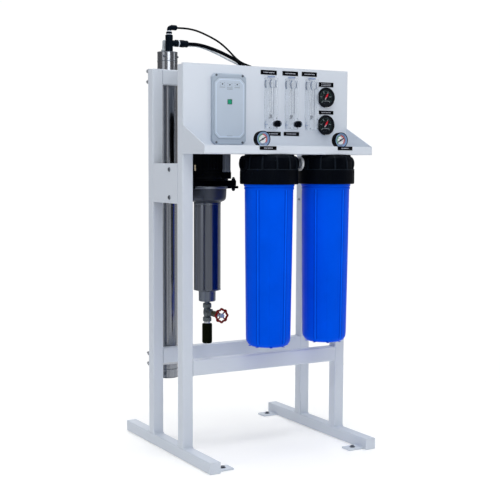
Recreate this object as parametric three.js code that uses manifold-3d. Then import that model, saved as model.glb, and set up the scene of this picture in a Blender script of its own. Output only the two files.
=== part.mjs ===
// Reverse osmosis unit: a white square tube stand that carries an instrument panel with a tray,
// two large blue water filters, a vertical multistage pump and one stainless membrane housing.
//
// Millimetres, +Z up, front faces -Y. The origin is on the floor under the middle of the stand.

import * as THREE from 'three';
import { mergeVertices } from 'three/addons/utils/BufferGeometryUtils.js';
import Module from 'manifold-3d';

const wasm = await Module();
wasm.setup();

// ---------------------------------------------------------------- driving dimensions

const GAP = 0.3; // between pieces that touch

const WIDTH = 606;
const DEPTH = 610;
const HEIGHT = 1220;
const TUBE = 36; // square tube, outside
const TUBE_WALL = 2;
const BEAM_HEIGHT = 48;
const FRONT_POST_Y = -125; // front faces of the posts
const REAR_POST_Y = 88;
const FRONT_BEAM_Z = 262;
const REAR_BEAM_Z = 267;
const SIDE_PLATE = { bottom: 796, top: 920, thickness: 5, boltY: -33, boltZ: [814, 901] };
const BOLT_HOLE = 4.5; // radius
const TAB = { reach: 55, length: 45, thickness: 5, setback: 15, hole: 6 };
const FOOT_DRAIN = 4; // radius

const SHEET = 2; // folded panel sheet
const PANEL_Y = FRONT_POST_Y - GAP - SHEET; // front surface of the panel
const PANEL_TOP = 1224;
const TRAY_Z = 949; // underside of the tray
const TRAY_FRONT_Y = -267;
const LIP_TOP = 975;
const GUSSET_TOP = 1037;

const COVER = { x: -148, z: 1087.5, width: 120, height: 217, thickness: 11, chamfer: 11 };
const COVER_PAD = { z: 1090, width: 107, height: 185, thickness: 2, chamfer: 15 };
const CONTROL_BOX = { width: 106, height: 200, depth: 44, wall: 3, edge: 8 };
const GLAND = { radius: 8, length: 8, setback: 16 };
const ROCKER = { z: 1110, width: 12.5, height: 13, depth: 9, back: -133 };

const METER = { firstX: 1, pitch: 76.7, bottom: 1028, top: 1191, width: 36, depth: 25 };
const METER_BORE = { radius: 6.5, inletRadius: 3.5, bottom: 1046, top: 1177 };
const METER_PORTS = [1052, 1171];
const METER_STUD = { radius: 9, bore: 4.5, length: 32 };
const METER_PLUG = { radius: 12, height: 4 };
const BONNET = { radius: 7.5, length: 9, bore: 4, depth: 6 };
const FLOAT = { radius: 5.4, bottom: 1064 };
const KNOB = { z: 1045, radius: 10, front: -190, back: -166, stem: 3.4, flutes: 8, flute: 1.6 };

const PANEL_GAUGE = { x: 212, radius: 33, dialRadius: 30, front: -141, bodyRadius: 25, reading: 33 };
const PANEL_GAUGE_Z = { upper: 1135, lower: 1046 };
const TRAY_GAUGE = { y: -238, z: 995, radius: 25, dialRadius: 22, depth: 22, reading: 60 };
const TRAY_GAUGE_X = { inlet: -91, outlet: 196.5 };
const TRAY_STEM = { radius: 6.5, flat: 7.5, hole: 8 };
const DIAL_DEPTH = 6;
const THREAD = { radius: 6.5, start: -32, end: -46 }; // behind a panel gauge

const FILTER_X = [-39, 173];
const FILTER_Y = -197;
const HEAD = { bottom: 857, collarTop: 903, top: TRAY_Z - GAP, collarRadius: 91, radius: 87 };
const PORT = { z: 921, radius: 24, root: 60, reach: 96, bore: 17, boreDepth: 30 };
const SUMP = { bottom: 351, topRadius: 75.5, bottomRadius: 69, wall: 4.5, neckRadius: 79, neckTop: 889 };
const CARTRIDGE = { bottom: 372, length: 504, radius: 56, bore: 14 };

const PUMP_X = -152;
const PUMP_Y = 0;
const BRACKET = { bottom: 840, thickness: 8, reach: 98, front: -30, back: 75, holeRadius: 62.5 };
const MOTOR = { flangeThickness: 17.4, flangeReach: 92, flangeBack: 62, radius: 71, top: 1088 };
const BELL = { bottom: 795, radius: 61.7 };
const SLEEVE = { bottom: 511.5, radius: 43.5, wall: 3 };
const DISCHARGE = { bottom: 475.8, radius: 27.3 };
const SHAFT = { radius: 8, impellerRadius: 36, stages: 4 };
const VALVE = { z: 440, bottom: 410, top: 469, radius: 14.6, waist: 10.5 };
const WHEEL = { y: -101, radius: 22.4, lobe: 1.7, lobes: 8, thickness: 7 };
const STUB = { bottom: 338, top: 403, radius: 16.2, bore: 9, chamfer: 4 };

const MEMBRANE = { x: -216, y: 160, bottom: 206, top: 1283, radius: 33.2, wall: 1.8 };
const FRONT_PORT_Y = 147;
const REAR_PORT_Y = 181;
const PORT_RADIUS = 9; // in the end caps
const CAP_LENGTH = 27;
const CLAMP_Z = { upper: 1199, lower: 278 };
const CLAMP = { halfHeight: 24, left: -84, right: 74, thickness: 5, band: 3.5 };
const CLAMP_BOLT = { x: [-78, 62], offset: 17, head: 6.5, length: 21 };
const TEE = { x: -216, bottom: 1285.3, top: 1338, radius: 12.5, branchZ: 1312 };
const ELBOW = { z: 1362, radius: 8.7, reach: 27 };

const THICK_TUBE = 12;
const THIN_TUBE = 6.35;

// sides of a round piece
const LARGE_ROUND = 24;
const ROUND = 14;
const SMALL_ROUND = 8;

// ---------------------------------------------------------------- solid helpers

function toSolid(geometry) {
  const bare = geometry.clone();
  bare.deleteAttribute('normal');
  bare.deleteAttribute('uv');
  const merged = mergeVertices(bare, 1e-3);
  const index = merged.index.array;
  const corners = [];
  for (let i = 0; i < index.length; i += 3) {
    const [a, b, c] = index.slice(i, i + 3);
    if (a !== b && b !== c && c !== a) corners.push(a, b, c);
  }
  const mesh = new wasm.Mesh({
    numProp: 3,
    vertProperties: merged.attributes.position.array,
    triVerts: new Uint32Array(corners),
  });
  return new wasm.Manifold(mesh);
}

function toGeometry(solid) {
  const { vertProperties, triVerts } = solid.getMesh();
  const geometry = new THREE.BufferGeometry();
  geometry.setAttribute('position', new THREE.BufferAttribute(vertProperties, 3));
  geometry.setIndex(new THREE.BufferAttribute(triVerts, 1));
  return geometry;
}

function join(...pieces) {
  return toGeometry(pieces.map(toSolid).reduce((whole, piece) => whole.add(piece)));
}

function cut(body, ...tools) {
  return toGeometry(tools.map(toSolid).reduce((rest, tool) => rest.subtract(tool), toSolid(body)));
}

// a box from its two corners
function box(x0, x1, y0, y1, z0, z1) {
  const geometry = new THREE.BoxGeometry(x1 - x0, y1 - y0, z1 - z0);
  return geometry.translate((x0 + x1) / 2, (y0 + y1) / 2, (z0 + z1) / 2);
}

// a profile of [radius, height] points turned about Z
function turned(profile, segments = LARGE_ROUND) {
  const points = profile.map(([radius, height]) => new THREE.Vector2(radius, height));
  return new THREE.LatheGeometry(points, segments).rotateX(Math.PI / 2);
}

function rod(radius, z0, z1, segments = LARGE_ROUND) {
  return turned([[0, z0], [radius, z0], [radius, z1], [0, z1]], segments);
}

function pipe(outer, inner, z0, z1, segments = LARGE_ROUND) {
  return turned([[inner, z0], [outer, z0], [outer, z1], [inner, z1], [inner, z0]], segments);
}

// turns a piece made along +Z so that it points along +X, or to the front
const alongX = (geometry) => geometry.rotateY(Math.PI / 2);
const toFront = (geometry) => geometry.rotateX(Math.PI / 2);

// stands up an outline drawn in depth (Y) and height (Z), so that its thickness runs along +X
const toSide = (geometry) => geometry.rotateX(Math.PI / 2).rotateZ(Math.PI / 2);

function outline(points) {
  return new THREE.Shape(points.map(([x, y]) => new THREE.Vector2(x, y)));
}

function roundHole(x, y, radius) {
  return new THREE.Path().absarc(x, y, radius, 0, 2 * Math.PI, true);
}

function plate(shape, thickness, curveSegments = ROUND / 2) {
  return new THREE.ExtrudeGeometry(shape, { depth: thickness, bevelEnabled: false, curveSegments });
}

// a rectangle with its four corners cut off at 45 degrees
function chamferedRectangle(width, height, chamfer) {
  const [w, h, c] = [width / 2, height / 2, chamfer];
  return outline([
    [-w + c, -h], [w - c, -h], [w, -h + c], [w, h - c],
    [w - c, h], [-w + c, h], [-w, h - c], [-w, -h + c],
  ]);
}

function hoseAlong(route, diameter, steps) {
  const section = new THREE.Shape().absarc(0, 0, diameter / 2, 0, 2 * Math.PI);
  const points = route.map((point) => new THREE.Vector3(...point));
  const path = new THREE.CatmullRomCurve3(points, false, 'centripetal');
  return new THREE.ExtrudeGeometry(section, { extrudePath: path, steps, curveSegments: 4 });
}

// ---------------------------------------------------------------- materials and nodes

function material(color, roughness, metalness = 0) {
  return new THREE.MeshStandardMaterial({ color, roughness, metalness });
}

const WHITE_COAT = material(0xdfe4ec, 0.45);
const GREY_BOX = material(0xa9b4c0, 0.5);
const GREEN = material(0x0c9a6c, 0.35);
const CLEAR = material(0xdde4ea, 0.1);
const DARK = material(0x2b2f33, 0.4);
const BLACK = material(0x0d0e10, 0.45);
const CHROME = material(0xc8ccd0, 0.12, 1);
const RED = material(0x8f1a1c, 0.4);
const BLUE = material(0x0b49d8, 0.35);
const FILTER_MEDIA = material(0xf0ede4, 0.95);
const STAINLESS = material(0x9a9a9e, 0.25, 1);
const DARK_STEEL = material(0x4a4d55, 0.35, 1);
const BRONZE_GREY = material(0x6a727c, 0.5, 0.8);
const PALE_PLASTIC = material(0xb9c2c6, 0.35);

const unit = new THREE.Group();

function add(name, geometry, look, position = [0, 0, 0]) {
  const mesh = new THREE.Mesh(geometry, look);
  mesh.name = name;
  mesh.position.set(...position);
  unit.add(mesh);
  return mesh;
}

// ---------------------------------------------------------------- stand

const INNER_X = WIDTH / 2 - TUBE; // inner faces of the feet and posts
const POST_BOTTOM = TUBE + GAP;

// A foot is a closed square tube with a drain hole and two floor tabs on its inner side.
// It is made for the right side, with its inner side towards -X.
function foot(side) {
  const [half, end, reach] = [TUBE / 2, DEPTH / 2, TAB.length / 2];
  const inside = half - TUBE_WALL;
  const shell = box(-half, half, -end, end, 0, TUBE);
  const hollow = box(-inside, inside, TUBE_WALL - end, end - TUBE_WALL, TUBE_WALL, TUBE - TUBE_WALL);
  const drain = rod(FOOT_DRAIN, -1, TUBE_WALL + 1, SMALL_ROUND);
  const pieces = [];
  const holes = [];
  for (const direction of [-1, 1]) {
    const middle = direction * (end - TAB.setback - reach);
    const inner = -half - TAB.reach;
    const hole = rod(TAB.hole, -1, TAB.thickness + 1, SMALL_ROUND);
    pieces.push(box(inner, 1 - half, middle - reach, middle + reach, 0, TAB.thickness));
    holes.push(hole.translate(inner + TAB.reach / 2, middle, 0));
  }
  const whole = cut(join(shell, ...pieces), hollow, drain, ...holes);
  return side > 0 ? whole : whole.rotateZ(Math.PI);
}

// a square post, closed at the top and open at the bottom
function post() {
  const half = TUBE / 2;
  const inside = half - TUBE_WALL;
  const shell = box(-half, half, -half, half, POST_BOTTOM, HEIGHT);
  return cut(shell, box(-inside, inside, -inside, inside, POST_BOTTOM - 1, HEIGHT - TUBE_WALL));
}

// a rectangular tube between two posts, open at both ends, standing on z = 0
function beam() {
  const half = INNER_X - GAP;
  const shell = box(-half, half, 0, TUBE, 0, BEAM_HEIGHT);
  const [wall, back, top] = [TUBE_WALL, TUBE - TUBE_WALL, BEAM_HEIGHT - TUBE_WALL];
  return cut(shell, box(-half - 1, half + 1, wall, back, wall, top));
}

// the two bolt holes of a side plate, one above the other, through what lies between x0 and x1
function sideBoltHoles(x0, x1) {
  return SIDE_PLATE.boltZ.map((z) => alongX(rod(BOLT_HOLE, x0 - 1, x1 + 1, SMALL_ROUND))
    .translate(0, SIDE_PLATE.boltY, z));
}

// the plate that ties a front post to a rear post
function sidePlate() {
  const front = FRONT_POST_Y + TUBE + GAP;
  const rear = REAR_POST_Y - GAP;
  const slab = box(0, SIDE_PLATE.thickness, front, rear, SIDE_PLATE.bottom, SIDE_PLATE.top);
  return cut(slab, ...sideBoltHoles(0, SIDE_PLATE.thickness));
}

for (const [side, name] of [[-1, 'left'], [1, 'right']]) {
  const x = side * (WIDTH / 2 - TUBE / 2);
  add(`${name}_foot`, foot(side), WHITE_COAT, [x, 0, 0]);
  add(`${name}_front_post`, post(), WHITE_COAT, [x, FRONT_POST_Y + TUBE / 2, 0]);
  add(`${name}_rear_post`, post(), WHITE_COAT, [x, REAR_POST_Y + TUBE / 2, 0]);
  const plateX = side < 0 ? -WIDTH / 2 : WIDTH / 2 - SIDE_PLATE.thickness;
  add(`${name}_side_plate`, sidePlate(), WHITE_COAT, [plateX, 0, 0]);
}
add('front_lower_beam', beam(), WHITE_COAT, [0, FRONT_POST_Y, FRONT_BEAM_Z]);
add('rear_lower_beam', beam(), WHITE_COAT, [0, REAR_POST_Y, REAR_BEAM_Z]);
add('rear_upper_beam', beam(), WHITE_COAT, [0, REAR_POST_Y, HEIGHT - BEAM_HEIGHT]);

// ---------------------------------------------------------------- instrument panel

const meterX = (index) => METER.firstX + index * METER.pitch;

// the upright sheet, drawn as seen from the front and then stood up
function panelSheet() {
  const half = WIDTH / 2;
  const shape = outline([[-half, TRAY_Z], [half, TRAY_Z], [half, PANEL_TOP], [-half, PANEL_TOP]]);
  for (let index = 0; index < 3; index += 1) {
    for (const z of METER_PORTS) shape.holes.push(roundHole(meterX(index), z, METER_STUD.radius + 1));
  }
  for (const z of Object.values(PANEL_GAUGE_Z)) {
    shape.holes.push(roundHole(PANEL_GAUGE.x, z, PANEL_GAUGE.bodyRadius + 1));
  }
  const edge = 2 * CONTROL_BOX.edge;
  const opening = chamferedRectangle(CONTROL_BOX.width - edge, CONTROL_BOX.height - edge, TUBE_WALL);
  const coverCentre = new THREE.Vector2(COVER.x, COVER.z);
  shape.holes.push(new THREE.Path(opening.getPoints().map((point) => point.add(coverCentre))));
  return toFront(plate(shape, SHEET)).translate(0, PANEL_Y + SHEET, 0);
}

function trayFloor() {
  const half = WIDTH / 2;
  const back = PANEL_Y + SHEET;
  const shape = outline([[-half, TRAY_FRONT_Y], [half, TRAY_FRONT_Y], [half, back], [-half, back]]);
  for (const x of Object.values(TRAY_GAUGE_X)) shape.holes.push(roundHole(x, TRAY_GAUGE.y, TRAY_STEM.hole));
  return plate(shape, SHEET).translate(0, 0, TRAY_Z);
}

// a side of the tray: level at the front lip, then sloping up to the panel
function gusset(x) {
  const shape = outline([
    [TRAY_FRONT_Y, TRAY_Z], [PANEL_Y + SHEET, TRAY_Z], [PANEL_Y + SHEET, GUSSET_TOP],
    [TRAY_FRONT_Y, LIP_TOP],
  ]);
  return toSide(plate(shape, SHEET)).translate(x, 0, 0);
}

function instrumentPanel() {
  const half = WIDTH / 2;
  const lip = box(-half, half, TRAY_FRONT_Y, TRAY_FRONT_Y + SHEET, TRAY_Z, LIP_TOP);
  return join(panelSheet(), trayFloor(), lip, gusset(-half), gusset(half - SHEET));
}

add('instrument_panel', instrumentPanel(), WHITE_COAT);

// ---------------------------------------------------------------- control box

const COVER_BACK_Y = PANEL_Y - GAP;

function controlBox() {
  const [w, h, wall] = [CONTROL_BOX.width / 2, CONTROL_BOX.height / 2, CONTROL_BOX.wall];
  const front = PANEL_Y + SHEET + GAP;
  const back = front + CONTROL_BOX.depth;
  const shell = box(-w, w, front, back, -h, h);
  const hollow = box(wall - w, w - wall, front - 1, back - wall, wall - h, h - wall);
  const gland = rod(GLAND.radius, -h - GLAND.length, 1 - h, SMALL_ROUND);
  return join(cut(shell, hollow), gland.translate(0, back - GLAND.setback, 0));
}

function controlCover() {
  const base = plate(chamferedRectangle(COVER.width, COVER.height, COVER.chamfer), COVER.thickness);
  const pad = plate(
    chamferedRectangle(COVER_PAD.width, COVER_PAD.height, COVER_PAD.chamfer),
    COVER.thickness + COVER_PAD.thickness,
  ).translate(0, COVER_PAD.z - COVER.z, 0);
  const [w, h] = [ROCKER.width / 2 + 0.6, ROCKER.height / 2 + 1];
  const z = ROCKER.z - COVER.z;
  const pocket = box(-w, w, z - h, z + h, -1, COVER.thickness + COVER_PAD.thickness + 1);
  return toFront(cut(join(base, pad), pocket));
}

// the green rocker, with two faces that meet in a shallow valley
function powerRocker() {
  const [h, d] = [ROCKER.height / 2, ROCKER.depth];
  const profile = outline([[0, -h + 2], [-3, -h], [-d, -h], [-d + 1.2, 0], [-d, h], [-3, h], [0, h - 2]]);
  return toSide(plate(profile, ROCKER.width)).translate(-ROCKER.width / 2, 0, 0);
}

add('control_box', controlBox(), GREY_BOX, [COVER.x, 0, COVER.z]);
add('control_cover', controlCover(), GREY_BOX, [COVER.x, COVER_BACK_Y, COVER.z]);
add('power_rocker', powerRocker(), GREEN, [COVER.x, ROCKER.back, ROCKER.z]);

// ---------------------------------------------------------------- flowmeters

const METER_FRONT_Y = PANEL_Y - GAP - METER.depth;
const METER_AXIS_Y = METER_FRONT_Y + METER.depth / 2;

// A clear block with an upright bore, two threaded studs to the back and, with a valve, a boss.
function flowmeter(hasValve) {
  const w = METER.width / 2;
  const back = METER_FRONT_Y + METER.depth;
  const solids = [
    box(-w, w, METER_FRONT_Y, back, METER.bottom, METER.top),
    rod(METER_PLUG.radius, METER.top - 1, METER.top + METER_PLUG.height, ROUND).translate(0, METER_AXIS_Y, 0),
  ];
  const seat = FLOAT.bottom - GAP;
  const holes = [
    rod(METER_BORE.radius, seat, METER_BORE.top, ROUND).translate(0, METER_AXIS_Y, 0),
    rod(METER_BORE.inletRadius, METER_BORE.bottom, seat + 1, SMALL_ROUND).translate(0, METER_AXIS_Y, 0),
  ];
  for (const z of METER_PORTS) {
    const rear = back + METER_STUD.length;
    solids.push(toFront(rod(METER_STUD.radius, -rear, 1 - back, ROUND)).translate(0, 0, z));
    holes.push(toFront(rod(METER_STUD.bore, -rear - 1, -METER_AXIS_Y, SMALL_ROUND)).translate(0, 0, z));
  }
  if (hasValve) {
    const end = BONNET.length - METER_FRONT_Y;
    solids.push(toFront(rod(BONNET.radius, -METER_FRONT_Y - 1, end, ROUND)).translate(0, 0, KNOB.z));
    holes.push(toFront(rod(BONNET.bore, end - BONNET.depth, end + 1, SMALL_ROUND)).translate(0, 0, KNOB.z));
  }
  return cut(join(...solids), ...holes);
}

function meterFloat() {
  const r = FLOAT.radius;
  return turned([[0, 0], [2, 0], [r - 1.4, 5], [r, 9], [r, 11], [2, 12.5], [0, 12.5]], ROUND);
}

const KNOB_STEM_Y = METER_FRONT_Y - BONNET.length + BONNET.depth - 1; // the stem's inner end

// a fluted grip on a short stem, made along +Z from the stem's inner end
function needleKnob() {
  const [back, front] = [KNOB_STEM_Y - KNOB.back, KNOB_STEM_Y - KNOB.front];
  const flutes = [];
  for (let index = 0; index < KNOB.flutes; index += 1) {
    const angle = (index / KNOB.flutes) * 2 * Math.PI;
    const [x, y] = [Math.cos(angle), Math.sin(angle)].map((part) => part * (KNOB.radius + 0.9));
    flutes.push(rod(KNOB.flute, back - 1, front - 2.5, SMALL_ROUND).translate(x, y, 0));
  }
  const grip = cut(rod(KNOB.radius, back, front, ROUND), ...flutes);
  return toFront(join(grip, rod(KNOB.stem, 0, back + 1, SMALL_ROUND)));
}

for (let index = 0; index < 3; index += 1) {
  const x = meterX(index);
  add(`flowmeter_${index + 1}`, flowmeter(index < 2), CLEAR, [x, 0, 0]);
  add(`float_${index + 1}`, meterFloat(), DARK, [x, METER_AXIS_Y, FLOAT.bottom]);
  if (index < 2) add(`needle_knob_${index + 1}`, needleKnob(), BLACK, [x, KNOB_STEM_Y, KNOB.z]);
}

// ---------------------------------------------------------------- gauges

// a tapered pointer with a hub, pointing up, made to lie in the dial's plane
function pointer(length) {
  const tail = length * 0.3;
  const needle = plate(outline([[-1.6, -tail], [1.6, -tail], [0.5, length], [-0.5, length]]), 0.8);
  return toFront(join(needle, rod(3, 0, 1.8, SMALL_ROUND)));
}

// A flanged case that goes through the panel from the front, with its thread at the back.
function panelGaugeCase() {
  const { radius, dialRadius, bodyRadius, front } = PANEL_GAUGE;
  const flangeBack = PANEL_Y - GAP;
  const depth = flangeBack - front;
  const profile = [
    [0, THREAD.end], [THREAD.radius, THREAD.end], [THREAD.radius, THREAD.start],
    [bodyRadius, THREAD.start], [bodyRadius, 0], [radius, 0], [radius, depth - 3],
    [radius - 1.5, depth], [dialRadius, depth], [dialRadius, depth - DIAL_DEPTH],
    [0, depth - DIAL_DEPTH],
  ];
  return toFront(turned(profile));
}

// A round case that stands on its threaded stem, with the dial to the front.
function trayGaugeCase() {
  const { radius, dialRadius, depth, z } = TRAY_GAUGE;
  const profile = [
    [0, 0], [radius - 3, 0], [radius - 0.8, 2.5], [radius - 0.8, depth - 8], [radius, depth - 7],
    [radius, depth - 1.5], [radius - 1, depth], [dialRadius, depth],
    [dialRadius, depth - DIAL_DEPTH], [0, depth - DIAL_DEPTH],
  ];
  const drum = toFront(turned(profile)).translate(0, depth / 2, 0);
  const stemBottom = TRAY_Z - z;
  const stem = rod(TRAY_STEM.radius, stemBottom, 2 - radius, ROUND);
  const w = TRAY_STEM.flat;
  return join(drum, stem, box(-w, w, -w, w, stemBottom + 6, 3 - radius));
}

// turns a pointer clockwise from the top of its dial, in degrees
function addPointer(name, length, look, reading, position) {
  add(name, pointer(length), look, position).rotation.y = THREE.MathUtils.degToRad(reading);
}

for (const [name, z] of Object.entries(PANEL_GAUGE_Z)) {
  const dialY = PANEL_GAUGE.front + DIAL_DEPTH;
  add(`panel_gauge_${name}`, panelGaugeCase(), CHROME, [PANEL_GAUGE.x, PANEL_Y - GAP, z]);
  addPointer(`panel_gauge_${name}_pointer`, 19, RED, PANEL_GAUGE.reading, [PANEL_GAUGE.x, dialY - 1, z]);
}
for (const [name, x] of Object.entries(TRAY_GAUGE_X)) {
  const dialY = TRAY_GAUGE.y - TRAY_GAUGE.depth / 2 + DIAL_DEPTH;
  add(`${name}_gauge`, trayGaugeCase(), BLACK, [x, TRAY_GAUGE.y, TRAY_GAUGE.z]);
  addPointer(`${name}_gauge_pointer`, 17, DARK, TRAY_GAUGE.reading, [x, dialY - 1, TRAY_GAUGE.z]);
}

// ---------------------------------------------------------------- water filters

// The head is a cap with a wide collar, a port on each side and a seat for the cartridge.
function filterHead() {
  const { bottom, collarTop, top, collarRadius, radius } = HEAD;
  const mouth = SUMP.neckRadius + 1.5;
  const roof = SUMP.neckTop + 4;
  const seat = CARTRIDGE.bottom + CARTRIDGE.length + GAP;
  const shell = turned([
    [0, seat], [20, seat], [20, roof], [mouth, roof], [mouth, bottom], [collarRadius - 2, bottom],
    [collarRadius, bottom + 2], [collarRadius, collarTop - 2], [collarRadius - 1.5, collarTop],
    [radius, collarTop], [radius, top - 20], [radius - 3, top - 9], [radius - 9, top - 2.5],
    [radius - 15, top], [0, top],
  ], LARGE_ROUND);
  const solids = [shell];
  const holes = [];
  for (const side of [-1, 1]) {
    const turn = side < 0 ? Math.PI : 0;
    const boss = alongX(rod(PORT.radius, PORT.root, PORT.reach)).rotateZ(turn);
    const bore = alongX(rod(PORT.bore, PORT.reach - PORT.boreDepth, PORT.reach + 1)).rotateZ(turn);
    solids.push(boss.translate(0, 0, PORT.z));
    holes.push(bore.translate(0, 0, PORT.z));
  }
  return cut(join(...solids), ...holes);
}

// A tapered bowl with a round bottom edge, a neck that screws into the head and a cartridge seat.
function filterSump() {
  const { bottom, topRadius, bottomRadius, wall, neckRadius, neckTop } = SUMP;
  const shoulder = HEAD.bottom - 1;
  const floor = bottom + 6;
  const seat = CARTRIDGE.bottom - GAP;
  return turned([
    [0, bottom], [bottomRadius - 20, bottom], [bottomRadius - 5, bottom + 7],
    [bottomRadius, bottom + 20], [topRadius, shoulder], [neckRadius, shoulder + 3.5],
    [neckRadius, neckTop], [topRadius - wall, neckTop], [bottomRadius - wall, bottom + 20],
    [bottomRadius - wall - 8, floor], [20, floor], [20, seat], [0, seat],
  ], LARGE_ROUND);
}

function filterCartridge() {
  const { bottom, length, radius, bore } = CARTRIDGE;
  return pipe(radius, bore, bottom, bottom + length);
}

FILTER_X.forEach((x, index) => {
  add(`filter_head_${index + 1}`, filterHead(), BLACK, [x, FILTER_Y, 0]);
  add(`filter_sump_${index + 1}`, filterSump(), BLUE, [x, FILTER_Y, 0]);
  add(`filter_cartridge_${index + 1}`, filterCartridge(), FILTER_MEDIA, [x, FILTER_Y, 0]);
});

// the metal nipple that joins the outlet of the first head to the inlet of the second
function filterNipple() {
  const inset = PORT.reach - PORT.boreDepth + 2;
  return alongX(pipe(PORT.bore - 0.5, PORT.bore - 4, FILTER_X[0] + inset, FILTER_X[1] - inset));
}

add('filter_nipple', filterNipple(), STAINLESS, [0, FILTER_Y, PORT.z]);

// ---------------------------------------------------------------- pump

const FLANGE_Z = BRACKET.bottom + BRACKET.thickness + GAP;

// an angle bracket on the left side plate, notched from the front around the bell adaptor
function pumpBracket() {
  const { bottom, thickness, reach, front, back, holeRadius } = BRACKET;
  const wall = SIDE_PLATE.thickness + GAP - WIDTH / 2 - PUMP_X;
  const top = bottom + thickness;
  const shelf = box(wall, reach, front, back, bottom, top);
  const [low, high] = [SIDE_PLATE.bottom + 8, SIDE_PLATE.top - 8];
  const upright = box(wall, wall + thickness, front - 18, back, low, high);
  const web = plate(outline([[wall + 6, bottom + 1], [wall + 6, bottom - 32], [wall + 46, bottom + 1]]), 6);
  const webs = [front + 6, back].map((y) => toFront(web.clone()).translate(0, y, 0));
  const notch = rod(holeRadius, bottom - 1, top + 1);
  return cut(join(shelf, upright, ...webs), notch, ...sideBoltHoles(wall, wall + thickness));
}

function pumpMotor() {
  const { flangeThickness, flangeReach, flangeBack, radius, top } = MOTOR;
  const bodyBottom = FLANGE_Z + flangeThickness;
  const flange = box(-flangeReach, flangeReach, BRACKET.front, flangeBack, FLANGE_Z, bodyBottom);
  const body = turned([
    [0, bodyBottom - 1], [radius - 4, bodyBottom - 1], [radius - 4, bodyBottom + 6],
    [radius, bodyBottom + 12], [radius, bodyBottom + 30], [radius - 1.5, bodyBottom + 32],
    [radius - 1.5, top - 48], [radius + 1, top - 48], [radius + 1, top - 12], [radius - 9, top], [0, top],
  ]);
  return cut(join(flange, body), rod(SHAFT.radius + 1.5, FLANGE_Z - 1, FLANGE_Z + 42, ROUND));
}

function pumpBell() {
  const top = FLANGE_Z - GAP;
  const { bottom, radius } = BELL;
  return turned([
    [34, bottom], [SLEEVE.radius, bottom], [SLEEVE.radius + 3, bottom + 3], [radius - 6, bottom + 7],
    [radius - 1.5, bottom + 13], [radius, bottom + 20], [radius, top], [34, top], [34, bottom],
  ]);
}

function pumpSleeve() {
  const { bottom, radius, wall } = SLEEVE;
  const top = BELL.bottom - GAP;
  return turned([
    [12, bottom], [radius - 2, bottom], [radius, bottom + 2], [radius, top], [radius - wall, top],
    [radius - wall, bottom + 6], [12, bottom + 6], [12, bottom],
  ]);
}

// the shaft with one thin impeller for each stage
function pumpShaft() {
  const { radius, impellerRadius, stages } = SHAFT;
  const bottom = SLEEVE.bottom + 10;
  const pitch = (BELL.bottom - SLEEVE.bottom - 40) / stages;
  const profile = [[0, bottom], [radius, bottom]];
  for (let stage = 0; stage < stages; stage += 1) {
    const z = bottom + 12 + stage * pitch;
    profile.push([radius, z], [impellerRadius, z], [impellerRadius, z + 8], [radius, z + 8]);
  }
  const top = FLANGE_Z + 38;
  return turned([...profile, [radius, top], [0, top]], SMALL_ROUND);
}

// the discharge head under the sleeve, with the nipple that carries the valve
function pumpDischarge() {
  const { bottom, radius } = DISCHARGE;
  const nippleBottom = VALVE.top - 10;
  return turned([
    [6, nippleBottom], [8.6, nippleBottom], [8.6, bottom], [radius - 1.5, bottom], [radius, bottom + 2],
    [radius + 0.5, SLEEVE.bottom - GAP], [6, SLEEVE.bottom - GAP], [6, nippleBottom],
  ]);
}

add('pump_bracket', pumpBracket(), BLACK, [PUMP_X, PUMP_Y, 0]);
add('pump_motor', pumpMotor(), BLACK, [PUMP_X, PUMP_Y, 0]);
add('pump_bell', pumpBell(), DARK_STEEL, [PUMP_X, PUMP_Y, 0]);
add('pump_sleeve', pumpSleeve(), STAINLESS, [PUMP_X, PUMP_Y, 0]);
add('pump_shaft', pumpShaft(), STAINLESS, [PUMP_X, PUMP_Y, 0]);
add('pump_discharge', pumpDischarge(), STAINLESS, [PUMP_X, PUMP_Y, 0]);

// ---------------------------------------------------------------- throttle valve

const BONNET_END = 68; // in front of the pump's axis

// A globe valve body with an octagonal end at the top and bottom and its bonnet to the front.
function valveBody() {
  const { z, bottom, top, radius, waist } = VALVE;
  const barrel = turned([
    [0, bottom], [radius - 2, bottom], [radius, bottom + 3], [radius, bottom + 9], [waist, bottom + 15],
    [waist + 1, z], [waist, top - 15], [radius, top - 9], [radius, top - 3], [radius - 2, top], [0, top],
  ], SMALL_ROUND);
  const bonnet = toFront(turned([
    [0, 0], [12.5, 0], [12.5, 26], [10, 29], [9, 48], [9.8, 50], [9.8, BONNET_END - 2], [8, BONNET_END],
    [0, BONNET_END],
  ], ROUND)).translate(0, 0, z);
  const stemBore = toFront(rod(4.4, 8, BONNET_END + 1, ROUND)).translate(0, 0, z);
  const socket = rod(9.2, top - 12, top + 1, ROUND);
  const lowerSocket = rod(10, bottom - 1, bottom + 10, ROUND);
  const seat = rod(5, bottom, top, SMALL_ROUND);
  return cut(join(barrel, bonnet), stemBore, socket, lowerSocket, seat);
}

// the rising stem, with a collar that the hand wheel turns against
function valveStem() {
  const wheelBack = -WHEEL.y - WHEEL.thickness;
  return toFront(turned([
    [0, 13], [4, 13], [4, wheelBack - 6], [6.5, wheelBack - 6], [6.5, wheelBack - 3], [3.2, wheelBack - 3],
    [3.2, 2 - WHEEL.y], [5.5, 2 - WHEEL.y], [5.5, 6 - WHEEL.y], [0, 6 - WHEEL.y],
  ], ROUND));
}

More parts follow.
